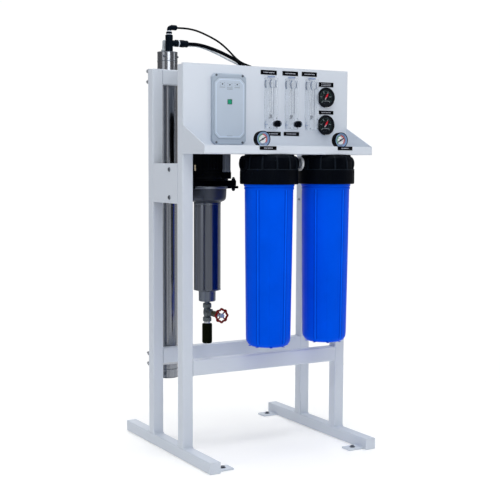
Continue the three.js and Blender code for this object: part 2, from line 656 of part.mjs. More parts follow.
// a cast wheel with a scalloped rim, four windows and a hub
function handWheel() {
  const { radius, lobe, lobes, thickness } = WHEEL;
  const rim = [];
  const rimPoints = lobes * 6;
  for (let index = 0; index < rimPoints; index += 1) {
    const angle = (index / rimPoints) * 2 * Math.PI;
    const reach = radius + lobe * Math.cos(lobes * angle);
    rim.push([reach * Math.cos(angle), reach * Math.sin(angle)]);
  }
  const shape = outline(rim);
  for (let window = 0; window < 4; window += 1) {
    const middle = ((window + 0.5) * Math.PI) / 2;
    const hole = new THREE.Path();
    hole.absarc(0, 0, 16.5, middle - 0.55, middle + 0.55, false);
    hole.absarc(0, 0, 9.5, middle + 0.4, middle - 0.4, true);
    shape.holes.push(hole);
  }
  const wheel = plate(shape, thickness, 4);
  const hub = rod(7.5, -2.5, thickness + 1.5, ROUND);
  return toFront(cut(join(wheel, hub), rod(3.6, -4, thickness + 3, SMALL_ROUND)));
}

// the pipe stub below the valve, threaded into its lower end
function drainStub() {
  const { bottom, top, radius, bore, chamfer } = STUB;
  const threadTop = VALVE.bottom + 8;
  return turned([
    [bore, bottom], [radius - chamfer, bottom], [radius, bottom + chamfer], [radius, top - 2],
    [radius - 2, top], [9.6, top], [9.6, threadTop], [7, threadTop], [7, top], [bore, top - 4],
    [bore, bottom],
  ]);
}

add('valve_body', valveBody(), BRONZE_GREY, [PUMP_X, PUMP_Y, 0]);
add('valve_stem', valveStem(), CHROME, [PUMP_X, PUMP_Y, VALVE.z]);
add('valve_handwheel', handWheel(), RED, [PUMP_X, PUMP_Y + WHEEL.y + WHEEL.thickness, VALVE.z]);
add('drain_stub', drainStub(), BLACK, [PUMP_X, PUMP_Y, 0]);

// ---------------------------------------------------------------- membrane housing

const CAP_RADIUS = MEMBRANE.radius - MEMBRANE.wall - GAP;

// an end plug with two ports, one in front of the other
function housingCap(bottom, top) {
  const plug = turned([
    [0, bottom], [CAP_RADIUS, bottom], [CAP_RADIUS, top - 1.5], [CAP_RADIUS - 1.5, top], [0, top],
  ]);
  const port = (y) => rod(PORT_RADIUS, bottom - 1, top + 1, ROUND).translate(0, y - MEMBRANE.y, 0);
  return cut(plug, port(FRONT_PORT_Y), port(REAR_PORT_Y));
}

function membraneElement() {
  return pipe(CAP_RADIUS - 1, 8, MEMBRANE.bottom + 40, MEMBRANE.top - 40);
}

// A plate against the rear of the post and beam, a band around the housing and four long studs.
function housingClamp(z) {
  const { halfHeight, left, right, thickness, band } = CLAMP;
  const [low, high] = [z - halfHeight, z + halfHeight];
  const seat = MEMBRANE.radius + GAP;
  const front = REAR_POST_Y + TUBE + GAP - MEMBRANE.y;
  const back = front + thickness;
  const block = box(left, right, front, back, low, high);
  const strap = cut(pipe(seat + band, seat, low, high), box(-50, 50, -50, back - 1, low - 1, high + 1));
  const bolts = [];
  for (const x of CLAMP_BOLT.x) {
    for (const offset of [-CLAMP_BOLT.offset, CLAMP_BOLT.offset]) {
      const bolt = toFront(rod(CLAMP_BOLT.head, -back - CLAMP_BOLT.length, 1 - back, 6));
      bolts.push(bolt.translate(x, 0, z + offset));
    }
  }
  return join(cut(block, rod(seat, low - 1, high + 1)), strap, ...bolts);
}

const membraneAxis = [MEMBRANE.x, MEMBRANE.y, 0];
const housing = pipe(MEMBRANE.radius, MEMBRANE.radius - MEMBRANE.wall, MEMBRANE.bottom, MEMBRANE.top);
add('membrane_housing', housing, STAINLESS, membraneAxis);
const topCap = housingCap(MEMBRANE.top - 1 - CAP_LENGTH, MEMBRANE.top - 1);
const bottomCap = housingCap(MEMBRANE.bottom + 1, MEMBRANE.bottom + 1 + CAP_LENGTH);
add('membrane_top_cap', topCap, STAINLESS, membraneAxis);
add('membrane_bottom_cap', bottomCap, STAINLESS, membraneAxis);
add('membrane_element', membraneElement(), FILTER_MEDIA, membraneAxis);
for (const [name, z] of Object.entries(CLAMP_Z)) {
  add(`${name}_housing_clamp`, housingClamp(z), STAINLESS, membraneAxis);
}

// ---------------------------------------------------------------- fittings and tubes

const BRANCH_END = 67.7; // from the tee's axis to the mouth of its nut

// a tee on the front port, with a compression nut on its branch
function branchTee() {
  const { bottom, top, radius, branchZ } = TEE;
  const run = turned([
    [0, MEMBRANE.top - 20], [PORT_RADIUS - GAP, MEMBRANE.top - 20], [PORT_RADIUS - GAP, bottom],
    [radius, bottom], [radius, top - 1], [radius - 1, top], [7, top], [7, top + 3], [0, top + 3],
  ], ROUND);
  const branch = alongX(turned([
    [0, 0], [9.5, 0], [9.5, 20], [11.6, 22], [11.6, 31], [9, 31], [9, 35], [10.5, 36], [11.6, 41],
    [11.6, BRANCH_END - 2], [10, BRANCH_END], [0, BRANCH_END],
  ], ROUND)).translate(0, 0, branchZ);
  const bore = alongX(rod(THICK_TUBE / 2 + 0.5, BRANCH_END - 18, BRANCH_END + 1, SMALL_ROUND));
  return cut(join(run, branch), bore.translate(0, 0, branchZ));
}

// a push-fit elbow on top of the tee
function pushElbow() {
  const bottom = TEE.top + 3 + GAP;
  const { z, radius, reach } = ELBOW;
  const upright = turned([
    [0, bottom], [10, bottom], [10, bottom + 6], [6.5, bottom + 7], [6.5, z], [0, z],
  ], ROUND);
  const corner = new THREE.SphereGeometry(radius, ROUND, SMALL_ROUND).translate(0, 0, z);
  const arm = alongX(rod(radius, 0, reach, ROUND)).translate(0, 0, z);
  const bore = alongX(rod(THIN_TUBE / 2 + 0.4, reach - 14, reach + 1, SMALL_ROUND));
  return cut(join(upright, corner, arm), bore.translate(0, 0, z));
}

// a pale elbow on the rear port
function rearElbow() {
  const bottom = MEMBRANE.top + GAP;
  const body = turned([
    [0, bottom - 20], [PORT_RADIUS - GAP, bottom - 20], [PORT_RADIUS - GAP, bottom], [11, bottom],
    [11, bottom + 9], [8, bottom + 12], [7, bottom + 38], [5, bottom + 41], [0, bottom + 41],
  ], ROUND);
  const arm = alongX(rod(7.4, 0, 26, ROUND)).translate(0, 0, bottom + 24);
  const bore = alongX(rod(THIN_TUBE / 2 + 0.4, 12, 27, SMALL_ROUND)).translate(0, 0, bottom + 24);
  return cut(join(body, arm), bore);
}

add('branch_tee', branchTee(), BLACK, [TEE.x, FRONT_PORT_Y, 0]);
add('push_elbow', pushElbow(), BLACK, [TEE.x, FRONT_PORT_Y, 0]);
add('rear_elbow', rearElbow(), PALE_PLASTIC, [TEE.x, REAR_PORT_Y, 0]);

// Routes of the three tubes, from the fitting on the housing over the panel's top edge and down.
const THICK_ROUTE = [
  [-160, 147, 1312], [-148, 147, 1312], [-134, 147, 1312.4], [-117.7, 146, 1312.2],
  [-91.3, 143, 1308.5], [-63.4, 136, 1300.3], [-41.9, 126, 1291.4], [-24.2, 111, 1280.5],
  [-10.4, 92, 1268.8], [-1.6, 71, 1257.4], [1.5, 48, 1244], [4.5, 24, 1229.5], [6, 0, 1213.5],
  [4.5, -23, 1197], [2.5, -44, 1183], [1.3, -62, 1174.5], [1, -78, 1171.4], [1, -94.5, 1171],
];
const THIN_ROUTE = [
  [-199, 147, 1362], [-189, 147, 1362], [-176, 147, 1362.2], [-160.1, 147, 1362.4], [-131.5, 146, 1360],
  [-108.3, 144, 1354.7], [-85.8, 140, 1346.3], [-64.5, 134, 1336.2], [-44.2, 126, 1323.8],
  [-29.6, 116, 1310], [-16.7, 104, 1293.5], [-10.7, 86, 1277.5], [-8.3, 62, 1262.6], [-5.2, 38, 1250.5],
  [9, 14, 1239], [34, -2, 1227], [65, -11, 1214], [98, -17, 1200], [130, -20, 1184], [159, -22, 1167],
  [183, -27, 1151.5], [200, -38, 1141], [208.5, -52, 1136.2], [211.7, -66, 1135.1], [212, -80.8, 1135],
];
const PALE_ROUTE = [
  [-202, 181, 1307.3], [-190, 181, 1307.3], [-172, 181, 1308.6], [-150, 180.5, 1310.2],
  [-124, 179, 1310.6], [-98.5, 176, 1310.1], [-72.5, 168, 1303.3], [-48, 157, 1292.4],
  [-27.4, 142, 1280.3], [-9.7, 122, 1266.7], [2.9, 100, 1255.3], [12, 74, 1244], [30, 46, 1232],
  [48, 18, 1218], [63, -8, 1204], [71, -32, 1190], [75.5, -54, 1178], [77.7, -76, 1172], [77.7, -94.5, 1171],
];

add('thick_tube', hoseAlong(THICK_ROUTE, THICK_TUBE, 22), BLACK);
add('thin_tube', hoseAlong(THIN_ROUTE, THIN_TUBE, 30), BLACK);
add('pale_tube', hoseAlong(PALE_ROUTE, THIN_TUBE, 28), PALE_PLASTIC);

export default unit;
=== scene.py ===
"""The visual model of a floor-standing reverse osmosis unit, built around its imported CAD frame.

Shapes are drawn in millimetres in the frame's axes, and Part.done() turns them into metres. Each
sub-part has its own function, and its pieces ride the bodies that the frame names.
"""

import math

import bmesh
import bpy
from mathutils import Matrix, Vector, noise

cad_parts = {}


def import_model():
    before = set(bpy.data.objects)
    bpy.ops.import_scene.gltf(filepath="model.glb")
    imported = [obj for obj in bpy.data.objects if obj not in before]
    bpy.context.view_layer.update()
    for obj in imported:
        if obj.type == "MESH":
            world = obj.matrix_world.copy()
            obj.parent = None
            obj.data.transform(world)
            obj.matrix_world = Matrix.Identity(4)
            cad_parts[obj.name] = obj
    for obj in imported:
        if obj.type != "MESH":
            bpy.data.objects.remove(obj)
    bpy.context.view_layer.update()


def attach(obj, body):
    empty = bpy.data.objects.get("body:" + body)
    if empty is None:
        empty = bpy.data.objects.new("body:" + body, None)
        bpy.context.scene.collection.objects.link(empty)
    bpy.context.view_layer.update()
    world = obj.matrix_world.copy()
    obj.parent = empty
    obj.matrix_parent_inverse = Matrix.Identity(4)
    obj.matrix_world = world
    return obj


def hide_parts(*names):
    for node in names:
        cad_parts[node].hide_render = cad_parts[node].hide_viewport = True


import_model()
scene = bpy.context.scene

# ---------------------------------------------------------------- camera

YAW, PITCH, ROLL = (math.radians(a) for a in (30.177, 4.698, 0.254))


def make_camera():
    """A long lens at the height of the tray, turned to the front left."""
    data = bpy.data.cameras.new("camera")
    data.lens, data.sensor_width = 76.732, 36.0
    data.clip_start, data.clip_end = 0.1, 60
    camera = bpy.data.objects.new("camera", data)
    scene.collection.objects.link(camera)
    forward = Vector((math.sin(YAW) * math.cos(PITCH), math.cos(YAW) * math.cos(PITCH), -math.sin(PITCH)))
    right = Vector((math.cos(YAW), -math.sin(YAW), 0))
    up = right.cross(forward)
    x = right * math.cos(ROLL) + up * math.sin(ROLL)
    y = up * math.cos(ROLL) - right * math.sin(ROLL)
    turn = Matrix((x, y, -forward)).transposed().to_4x4()
    camera.matrix_world = Matrix.Translation((-1.757, -3.035, 0.924)) @ turn
    scene.camera = camera


make_camera()

# ---------------------------------------------------------------- mesh helpers

ALONG = {
    "z": Matrix.Identity(4),
    "-z": Matrix.Rotation(math.pi, 4, "X"),
    "x": Matrix.Rotation(math.pi / 2, 4, "Y"),
    "-x": Matrix.Rotation(-math.pi / 2, 4, "Y"),
    "y": Matrix.Rotation(-math.pi / 2, 4, "X"),
    "-y": Matrix.Rotation(math.pi / 2, 4, "X"),
}
# Stands an outline drawn as (y, z) upright, with its thickness along X.
UPRIGHT = Matrix(((0, 0, 1, 0), (1, 0, 0, 0), (0, 1, 0, 0), (0, 0, 0, 1)))


def placed(along, at):
    return Matrix.Translation(at) @ ALONG[along]


def softened(points, radius, steps=3, closed=False):
    """The same path of [radius, height] points with its corners rounded off."""
    if radius <= 0:
        return [tuple(p) for p in points]
    points = [Vector(p) for p in points]
    count, out = len(points), []
    for i, p in enumerate(points):
        if not closed and i in (0, count - 1):
            out.append(tuple(p))
            continue
        a, b = points[i - 1], points[(i + 1) % count]
        la, lb = (a - p).length, (b - p).length
        if min(la, lb) < 1e-6:
            continue
        r = min(radius, 0.45 * la, 0.45 * lb)
        start, end = p + (a - p) / la * r, p + (b - p) / lb * r
        for k in range(steps + 1):
            t = k / steps
            out.append(tuple(start * (1 - t) ** 2 + p * 2 * t * (1 - t) + end * t * t))
    return out


def circle(radius, x=0.0, y=0.0, steps=48):
    angles = [2 * math.pi * k / steps for k in range(steps)]
    return [(x + radius * math.cos(a), y + radius * math.sin(a)) for a in angles]


def rectangle(width, height, x=0.0, y=0.0, chamfer=0.0, corner=0.0):
    w, h, c = width / 2, height / 2, chamfer
    if c:
        points = [(-w + c, -h), (w - c, -h), (w, -h + c), (w, h - c),
                  (w - c, h), (-w + c, h), (-w, h - c), (-w, -h + c)]
    else:
        points = [(-w, -h), (w, -h), (w, h), (-w, h)]
    return [(x + px, y + py) for px, py in softened(points, corner, 4, closed=True)]


class Part:
    """Collects closed shapes, drawn in millimetres, into one mesh piece."""

    def __init__(self):
        self.bm = bmesh.new()

    def take(self, mesh, matrix):
        mesh.transform(matrix)
        self.bm.from_mesh(mesh)
        bpy.data.meshes.remove(mesh)
        return self

    def take_bm(self, bm, matrix):
        bmesh.ops.recalc_face_normals(bm, faces=bm.faces)
        mesh = bpy.data.meshes.new("part")
        bm.to_mesh(mesh)
        bm.free()
        return self.take(mesh, matrix)

    def merge(self, other):
        """Takes in all of another part, with its faces as they are."""
        mesh = bpy.data.meshes.new("part")
        other.bm.to_mesh(mesh)
        other.bm.free()
        return self.take(mesh, Matrix.Identity(4))

    def box(self, x0, x1, y0, y1, z0, z1, edge=0.6, steps=2, only=None, turn=None):
        """A box with its edges rounded, or only those that run along the axis `only`."""
        bm = bmesh.new()
        size = Matrix.Diagonal((x1 - x0, y1 - y0, z1 - z0, 1))
        bmesh.ops.create_cube(bm, size=1.0, matrix=size)
        if edge > 0:
            edges = [e for e in bm.edges if only is None
                     or abs((e.verts[0].co - e.verts[1].co).normalized()["xyz".index(only)]) > 0.9]
            bmesh.ops.bevel(bm, geom=edges, offset=edge, segments=steps, profile=0.5, affect="EDGES")
        centre = ((x0 + x1) / 2, (y0 + y1) / 2, (z0 + z1) / 2)
        return self.take_bm(bm, Matrix.Translation(centre) @ (turn or Matrix.Identity(4)))

    def turned(self, profile, along="z", at=(0, 0, 0), steps=64, soft=0.0, ripple=None):
        """A profile of (radius, height) points turned about an axis.
        ripple(angle, radius, height) gives the radius at that angle instead."""
        points = softened(profile, soft)
        bm = bmesh.new()
        rings = []
        for radius, height in points:
            if radius < 1e-6:
                rings.append([bm.verts.new((0, 0, height))])
                continue
            ring = []
            for k in range(steps):
                a = 2 * math.pi * k / steps
                r = ripple(a, radius, height) if ripple else radius
                ring.append(bm.verts.new((r * math.cos(a), r * math.sin(a), height)))
            rings.append(ring)
        for low, high in zip(rings, rings[1:]):
            for k in range(steps):
                m = (k + 1) % steps
                if len(low) == 1 and len(high) == 1:
                    break
                if len(low) == 1:
                    bm.faces.new((low[0], high[m], high[k]))
                elif len(high) == 1:
                    bm.faces.new((low[k], low[m], high[0]))
                else:
                    bm.faces.new((low[k], low[m], high[m], high[k]))
        bmesh.ops.remove_doubles(bm, verts=bm.verts, dist=1e-4)
        return self.take_bm(bm, placed(along, at))

    def rod(self, radius, z0, z1, along="z", at=(0, 0, 0), steps=40, edge=0.4):
        return self.turned([(0, z0), (radius, z0), (radius, z1), (0, z1)], along, at, steps, edge)

    def ring(self, outer, inner, z0, z1, along="z", at=(0, 0, 0), steps=64, edge=0.4):
        profile = softened([(inner, z0), (outer, z0), (outer, z1), (inner, z1)], edge, 3, closed=True)
        return self.turned([*profile, profile[0]], along, at, steps)

    def slab(self, outlines, thickness, along="z", at=(0, 0, 0), edge=0.3, steps=2, turn=0.0):
        """Closed outlines extruded from 0 to thickness; an outline inside another is a hole."""
        curve = bpy.data.curves.new("slab", "CURVE")
        curve.dimensions, curve.fill_mode = "2D", "BOTH"
        edge = min(edge, 0.45 * thickness)
        curve.extrude, curve.bevel_depth, curve.bevel_resolution = thickness / 2 - edge, edge, steps
        curve.offset = -edge
        for outline in outlines:
            spline = curve.splines.new("POLY")
            spline.points.add(len(outline) - 1)
            for point, (x, y) in zip(spline.points, outline):
                point.co = (x, y, 0, 1)
            spline.use_cyclic_u = True
        holder = bpy.data.objects.new("slab", curve)
        scene.collection.objects.link(holder)
        bpy.context.view_layer.update()
        evaluated = holder.evaluated_get(bpy.context.evaluated_depsgraph_get())
        mesh = bpy.data.meshes.new_from_object(evaluated)
        bpy.data.objects.remove(holder)
        bm = bmesh.new()
        bm.from_mesh(mesh)
        bpy.data.meshes.remove(mesh)
        bmesh.ops.remove_doubles(bm, verts=bm.verts, dist=1e-3)
        lift = Matrix.Rotation(turn, 4, "Z") @ Matrix.Translation((0, 0, thickness / 2))
        return self.take_bm(bm, placed(along, at) @ lift)

    def tube(self, points, radius, steps=12, closed=False, wobble=0.0):
        """A round bead along points, with its ends closed."""
        points = [Vector(p) for p in points]
        bm, rings = bmesh.new(), []
        count = len(points)
        side = None
        for i, p in enumerate(points):
            a = points[i - 1] if i or closed else p
            b = points[(i + 1) % count] if i < count - 1 or closed else p
            along = (b - a).normalized()
            if side is None:
                side = along.orthogonal().normalized()
            side = (side - along * side.dot(along)).normalized()
            other = along.cross(side)
            r = radius * (1 + wobble * noise.noise(p * 0.35))
            rings.append([bm.verts.new(p + (side * math.cos(t) + other * math.sin(t)) * r)
                          for t in (2 * math.pi * k / steps for k in range(steps))])
        pairs = list(zip(rings, rings[1:])) + ([(rings[-1], rings[0])] if closed else [])
        for low, high in pairs:
            for k in range(steps):
                m = (k + 1) % steps
                bm.faces.new((low[k], low[m], high[m], high[k]))
        if not closed:
            bm.faces.new(rings[0])
            bm.faces.new(rings[-1])
        return self.take_bm(bm, Matrix.Identity(4))

    def done(self, name, look, body="unit", slot=None, replaces=(), sharp=32, weighted=True):
        mesh = bpy.data.meshes.new(name)
        self.bm.to_mesh(mesh)
        self.bm.free()
        mesh.transform(Matrix.Scale(0.001, 4))
        mesh.polygons.foreach_set("use_smooth", [True] * len(mesh.polygons))
        mesh.set_sharp_from_angle(angle=math.radians(sharp))
        mesh.materials.append(look)
        piece = bpy.data.objects.new(name, mesh)
        scene.collection.objects.link(piece)
        if weighted:
            modifier = piece.modifiers.new("normals", "WEIGHTED_NORMAL")
            modifier.keep_sharp = True
        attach(piece, body)
        if replaces:
            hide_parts(*replaces)
        return piece


# ---------------------------------------------------------------- materials


class Nodes:
    """Short calls that build one material's node tree."""

    def __init__(self, name):
        self.material = bpy.data.materials.new(name)
        self.material.use_nodes = True
        self.tree = self.material.node_tree
        self.shader = self.tree.nodes["Principled BSDF"]
        self.where = self.add("ShaderNodeTexCoord").outputs["Object"]

    def add(self, kind, **settings):
        node = self.tree.nodes.new(kind)
        for key, value in settings.items():
            if hasattr(node, key) and not key[0].isupper():
                setattr(node, key, value)
            else:
                node.inputs[key.replace("_", " ")].default_value = value
        return node

    def link(self, output, target):
        self.tree.links.new(output, target)

    def stretched(self, scale):
        node = self.add("ShaderNodeMapping")
        node.inputs["Scale"].default_value = scale
        self.link(self.where, node.inputs["Vector"])
        return node.outputs["Vector"]

    def noise(self, scale, detail=3.0, roughness=0.55, stretch=None):
        node = self.add("ShaderNodeTexNoise")
        node.inputs["Scale"].default_value = scale
        node.inputs["Detail"].default_value = detail
        node.inputs["Roughness"].default_value = roughness
        self.link(self.stretched(stretch) if stretch else self.where, node.inputs["Vector"])
        return node.outputs["Fac"]

    def mapped(self, value, low, high, from_low=0.3, from_high=0.7):
        node = self.add("ShaderNodeMapRange")
        node.inputs["From Min"].default_value = from_low
        node.inputs["From Max"].default_value = from_high
        node.inputs["To Min"].default_value = low
        node.inputs["To Max"].default_value = high
        self.link(value, node.inputs["Value"])
        return node.outputs["Result"]

    def between(self, value, a, b):
        node = self.add("ShaderNodeMix", data_type="RGBA")
        for socket in node.inputs:
            if socket.type == "RGBA" and socket.name == "A":
                socket.default_value = (*a[:3], 1)
            if socket.type == "RGBA" and socket.name == "B":
                socket.default_value = (*b[:3], 1)
        self.link(value, node.inputs["Factor"])
        return next(o for o in node.outputs if o.type == "RGBA")

    def bump(self, height, strength, distance):
        node = self.add("ShaderNodeBump")
        node.inputs["Strength"].default_value = strength
        node.inputs["Distance"].default_value = distance
        self.link(height, node.inputs["Height"])
        self.link(node.outputs["Normal"], self.shader.inputs["Normal"])


def tint(colour, factor):
    return tuple(min(1.0, c * factor) for c in colour)


def look(name, colour, roughness, metallic=0.0, vary=0.05, patch=9.0, rough_vary=0.06,
         grain=900.0, grain_depth=0.00004, grain_strength=0.25, stretch=None, other=None, **sockets):
    """A surface with patches of slightly different colour and gloss and a fine relief.
    stretch draws all of it out along an axis, as brushing does."""
    n = Nodes(name)
    n.shader.inputs["Metallic"].default_value = metallic
    for key, value in sockets.items():
        n.shader.inputs[key.replace("_", " ")].default_value = value
    mottle = n.noise(patch, 4.0, stretch=stretch)
    colours = n.between(n.mapped(mottle, 0.0, 1.0), tint(colour, 1 - vary), other or tint(colour, 1 + vary))
    n.link(colours, n.shader.inputs["Base Color"])
    gloss = n.noise(patch * 3.1, 5.0, stretch=stretch)
    n.link(n.mapped(gloss, max(0.02, roughness - rough_vary), roughness + rough_vary),
           n.shader.inputs["Roughness"])
    n.bump(n.noise(grain, 2.0, stretch=stretch), grain_strength, grain_depth)
    return n.material


PAINT = (0.605, 0.652, 0.722)
BLACK_GLOSS = {"Specular_IOR_Level": 0.07, "IOR": 1.25, "Specular_Tint": (0.7, 0.85, 1.0, 1)}
white_coat = look("white_coat", PAINT, 0.42, vary=0.018, patch=3.5, grain=420, grain_depth=0.00006,
                  grain_strength=0.16, Specular_IOR_Level=0.45)
grey_box = look("grey_box", (0.335, 0.395, 0.475), 0.55, vary=0.03, patch=20, grain=1500,
                grain_depth=0.00005, grain_strength=0.3)
grey_pad = look("grey_pad", (0.43, 0.50, 0.59), 0.42, vary=0.02, patch=12, grain=1100,
                grain_depth=0.00003, grain_strength=0.15)
pad_line = look("pad_line", (0.60, 0.71, 0.86), 0.4, vary=0.02)
green_switch = look("green_switch", (0.003, 0.25, 0.135), 0.3, vary=0.08, patch=60,
                    Emission_Color=(0.01, 0.6, 0.32, 1), Emission_Strength=0.03)
dark_trim = look("dark_trim", (0.018, 0.020, 0.024), 0.42, vary=0.15, patch=30, Specular_IOR_Level=0.2)
black_plastic = look("black_plastic", (0.0016, 0.0022, 0.0040), 0.40, vary=0.35, patch=14,
                     grain=1400, grain_depth=0.00006, grain_strength=0.35, **BLACK_GLOSS)
fitting_plastic = look("fitting_plastic", (0.0022, 0.0045, 0.0085), 0.36, vary=0.25, patch=30, grain=1600,
                       Specular_IOR_Level=0.10, IOR=1.3, Specular_Tint=(0.6, 0.8, 1.0, 1))
black_paint = look("black_paint", (0.0014, 0.0017, 0.0026), 0.34, vary=0.3, patch=22, grain=520,
                   grain_depth=0.00008, grain_strength=0.3, **BLACK_GLOSS)
motor_paint = look("motor_paint", (0.0013, 0.0016, 0.0024), 0.36, vary=0.3, patch=18, grain=650,
                   grain_depth=0.00010, grain_strength=0.35, **BLACK_GLOSS)
BLUE_GLOSS = {"Specular_IOR_Level": 0.12, "IOR": 1.25, "Specular_Tint": (0.0, 0.3, 1.0, 1)}
blue_plastic = look("blue_plastic", (0.0, 0.078, 0.76), 0.40, vary=0.05, patch=7, grain=1200,
                    grain_depth=0.00003, grain_strength=0.18, other=(0.0, 0.088, 0.82), **BLUE_GLOSS)
# Darker and paler copies of the blue plastic: painted shade and painted highlight for the beads on the sump
# ribs.
blue_painted_shade = look("blue_painted_shade", (0.0, 0.056, 0.60), 0.42, vary=0.05, patch=7, grain=1200, **BLUE_GLOSS)
blue_painted_highlight = look("blue_painted_highlight", (0.002, 0.125, 0.92), 0.38, vary=0.05, patch=7, grain=1200, **BLUE_GLOSS)
chrome = look("chrome", (0.74, 0.75, 0.77), 0.10, 1.0, vary=0.02, rough_vary=0.03, patch=25,
              grain=300, grain_strength=0.03)
bezel_dark = look("bezel_dark", (0.005, 0.007, 0.012), 0.4, vary=0.1, patch=25,
                  Specular_IOR_Level=0.08, IOR=1.25)
bezel_back = look("bezel_back", (0.62, 0.66, 0.72), 0.35, 0.5, vary=0.05, patch=25)
# A lighter black for the filter head's ribs and collar bead: a painted highlight.
black_painted_highlight = look("black_painted_highlight", (0.0055, 0.0085, 0.0135), 0.38, vary=0.3, patch=30, grain=900,
                 Specular_IOR_Level=0.12, IOR=1.3)
black_steel = look("black_steel", (0.016, 0.018, 0.023), 0.32, 0.4, vary=0.25, patch=90, grain=900,
                   Specular_IOR_Level=0.2)
zinc = look("zinc", (0.36, 0.375, 0.40), 0.33, 1.0, vary=0.12, patch=120, grain=1500, grain_strength=0.2)
bright_zinc = look("bright_zinc", (0.86, 0.88, 0.92), 0.38, 0.6, vary=0.05, patch=80, grain=1500)
dark_zinc = look("dark_zinc", (0.13, 0.145, 0.17), 0.36, 1.0, vary=0.2, patch=120, grain=1500)
stainless = look("stainless", (0.245, 0.258, 0.282), 0.20, 1.0, vary=0.12, patch=14, rough_vary=0.07,
                 grain=260, grain_depth=0.00004, grain_strength=0.22, stretch=(6.0, 6.0, 0.15))
sleeve_steel = look("sleeve_steel", (0.115, 0.126, 0.152), 0.20, 1.0, vary=0.28, patch=22, rough_vary=0.08,
                    grain=300, grain_depth=0.00005, grain_strength=0.22, stretch=(6.0, 6.0, 0.08))
cast_steel = look("cast_steel", (0.045, 0.053, 0.072), 0.40, 0.6, vary=0.12, patch=35, grain=500,
                  grain_depth=0.00012, grain_strength=0.4, Specular_IOR_Level=0.3)
lug_steel = look("lug_steel", (0.16, 0.18, 0.215), 0.34, 0.8, vary=0.08, patch=30, grain=600)
valve_metal = look("valve_metal", (0.10, 0.118, 0.128), 0.40, 0.7, vary=0.28, patch=120, grain=700,
                   grain_depth=0.00014, grain_strength=0.5)
packing_metal = look("packing_metal", (0.10, 0.085, 0.05), 0.4, 0.8, vary=0.25, patch=90)
red_enamel = look("red_enamel", (0.15, 0.004, 0.004), 0.34, vary=0.25, patch=80, grain=500,
                  grain_depth=0.0001, grain_strength=0.3, Specular_IOR_Level=0.12, IOR=1.3)
hub_blue = look("hub_blue", (0.34, 0.42, 0.56), 0.32, 0.5, vary=0.1, patch=100)
seal_tape = look("seal_tape", (0.72, 0.74, 0.76), 0.6, vary=0.08, patch=300, grain=2500,
                 grain_depth=0.0003, grain_strength=0.6)
olive_stub = look("olive_stub", (0.0028, 0.0040, 0.0010), 0.36, vary=0.3, patch=40,
                   Specular_IOR_Level=0.07, IOR=1.25)
dial_black = look("dial_black", (0.0022, 0.0032, 0.0058), 0.5, vary=0.1, patch=25, grain=900,
                  Specular_IOR_Level=0.05, IOR=1.2)
dial_blue = look("dial_blue", (0.26, 0.33, 0.46), 0.4, vary=0.05, patch=60)
mark_white = look("mark_white", (0.80, 0.82, 0.84), 0.5, vary=0.02)
label_print = look("label_print", (0.42, 0.44, 0.50), 0.5, vary=0.1, patch=60)
mark_black = look("mark_black", (0.02, 0.022, 0.026), 0.5, vary=0.05)
mark_grey = look("mark_grey", (0.17, 0.19, 0.23), 0.5, vary=0.05)
mark_green = look("mark_green", (0.03, 0.30, 0.10), 0.5, vary=0.05)
mark_red = look("mark_red", (0.62, 0.02, 0.015), 0.45, vary=0.05)
label_black = look("label_black", (0.0012, 0.0013, 0.0018), 0.42, vary=0.1, patch=60,
                   Specular_IOR_Level=0.05, IOR=1.2)
label_cream = look("label_cream", (0.72, 0.60, 0.40), 0.5, vary=0.05, patch=60)
terminal_grey = look("terminal_grey", (0.115, 0.132, 0.168), 0.5, vary=0.12, patch=70)
pale_plastic = look("pale_plastic", (0.46, 0.52, 0.56), 0.34, vary=0.05, patch=40,
                    Transmission_Weight=0.25)
ring_white = look("ring_white", (0.62, 0.68, 0.76), 0.4, vary=0.04, patch=60)
tube_black = look("tube_black", (0.0014, 0.0019, 0.0032), 0.34, vary=0.2, patch=25, grain=900,
                  grain_depth=0.00003, grain_strength=0.15, **BLACK_GLOSS)
tube_pale = look("tube_pale", (0.60, 0.66, 0.72), 0.3, vary=0.04, patch=25, Transmission_Weight=0.35)
filter_media = look("filter_media", (0.82, 0.79, 0.70), 0.85, vary=0.06, patch=200, grain=2500,
                    grain_depth=0.0004, grain_strength=0.6)
acrylic = look("acrylic", (0.80, 0.86, 0.93), 0.05, vary=0.01, rough_vary=0.02, grain=200,
               grain_depth=0.00001, grain_strength=0.03, Alpha=0.13, Specular_IOR_Level=0.45)
acrylic_edge = look("acrylic_edge", (0.56, 0.63, 0.74), 0.2, vary=0.03, patch=40, Alpha=0.35)
lens = look("lens", (0.70, 0.78, 0.88), 0.25, vary=0.01, rough_vary=0.02, grain=200,
            grain_depth=0.00001, grain_strength=0.02, Alpha=0.006, Specular_IOR_Level=0.02, IOR=1.05)


# ---------------------------------------------------------------- stand

WIDTH, DEPTH, HEIGHT, TUBE, GAP = 606.0, 610.0, 1220.0, 36.0, 0.3
INNER = WIDTH / 2 - TUBE
FRONT_POST, REAR_POST = (-125.0, -89.0), (88.0, 124.0)


def weld(part, corners, radius=2.6):
    """A rippled fillet bead round a closed or open path of corners."""
    points = []
    for a, b in zip(corners, corners[1:]):
        a, b = Vector(a), Vector(b)
        steps = max(2, int((b - a).length / 3.0))
        points += [a.lerp(b, k / steps) for k in range(steps)]
    points.append(Vector(corners[-1]))
    part.tube(points, radius, 8, wobble=0.35)


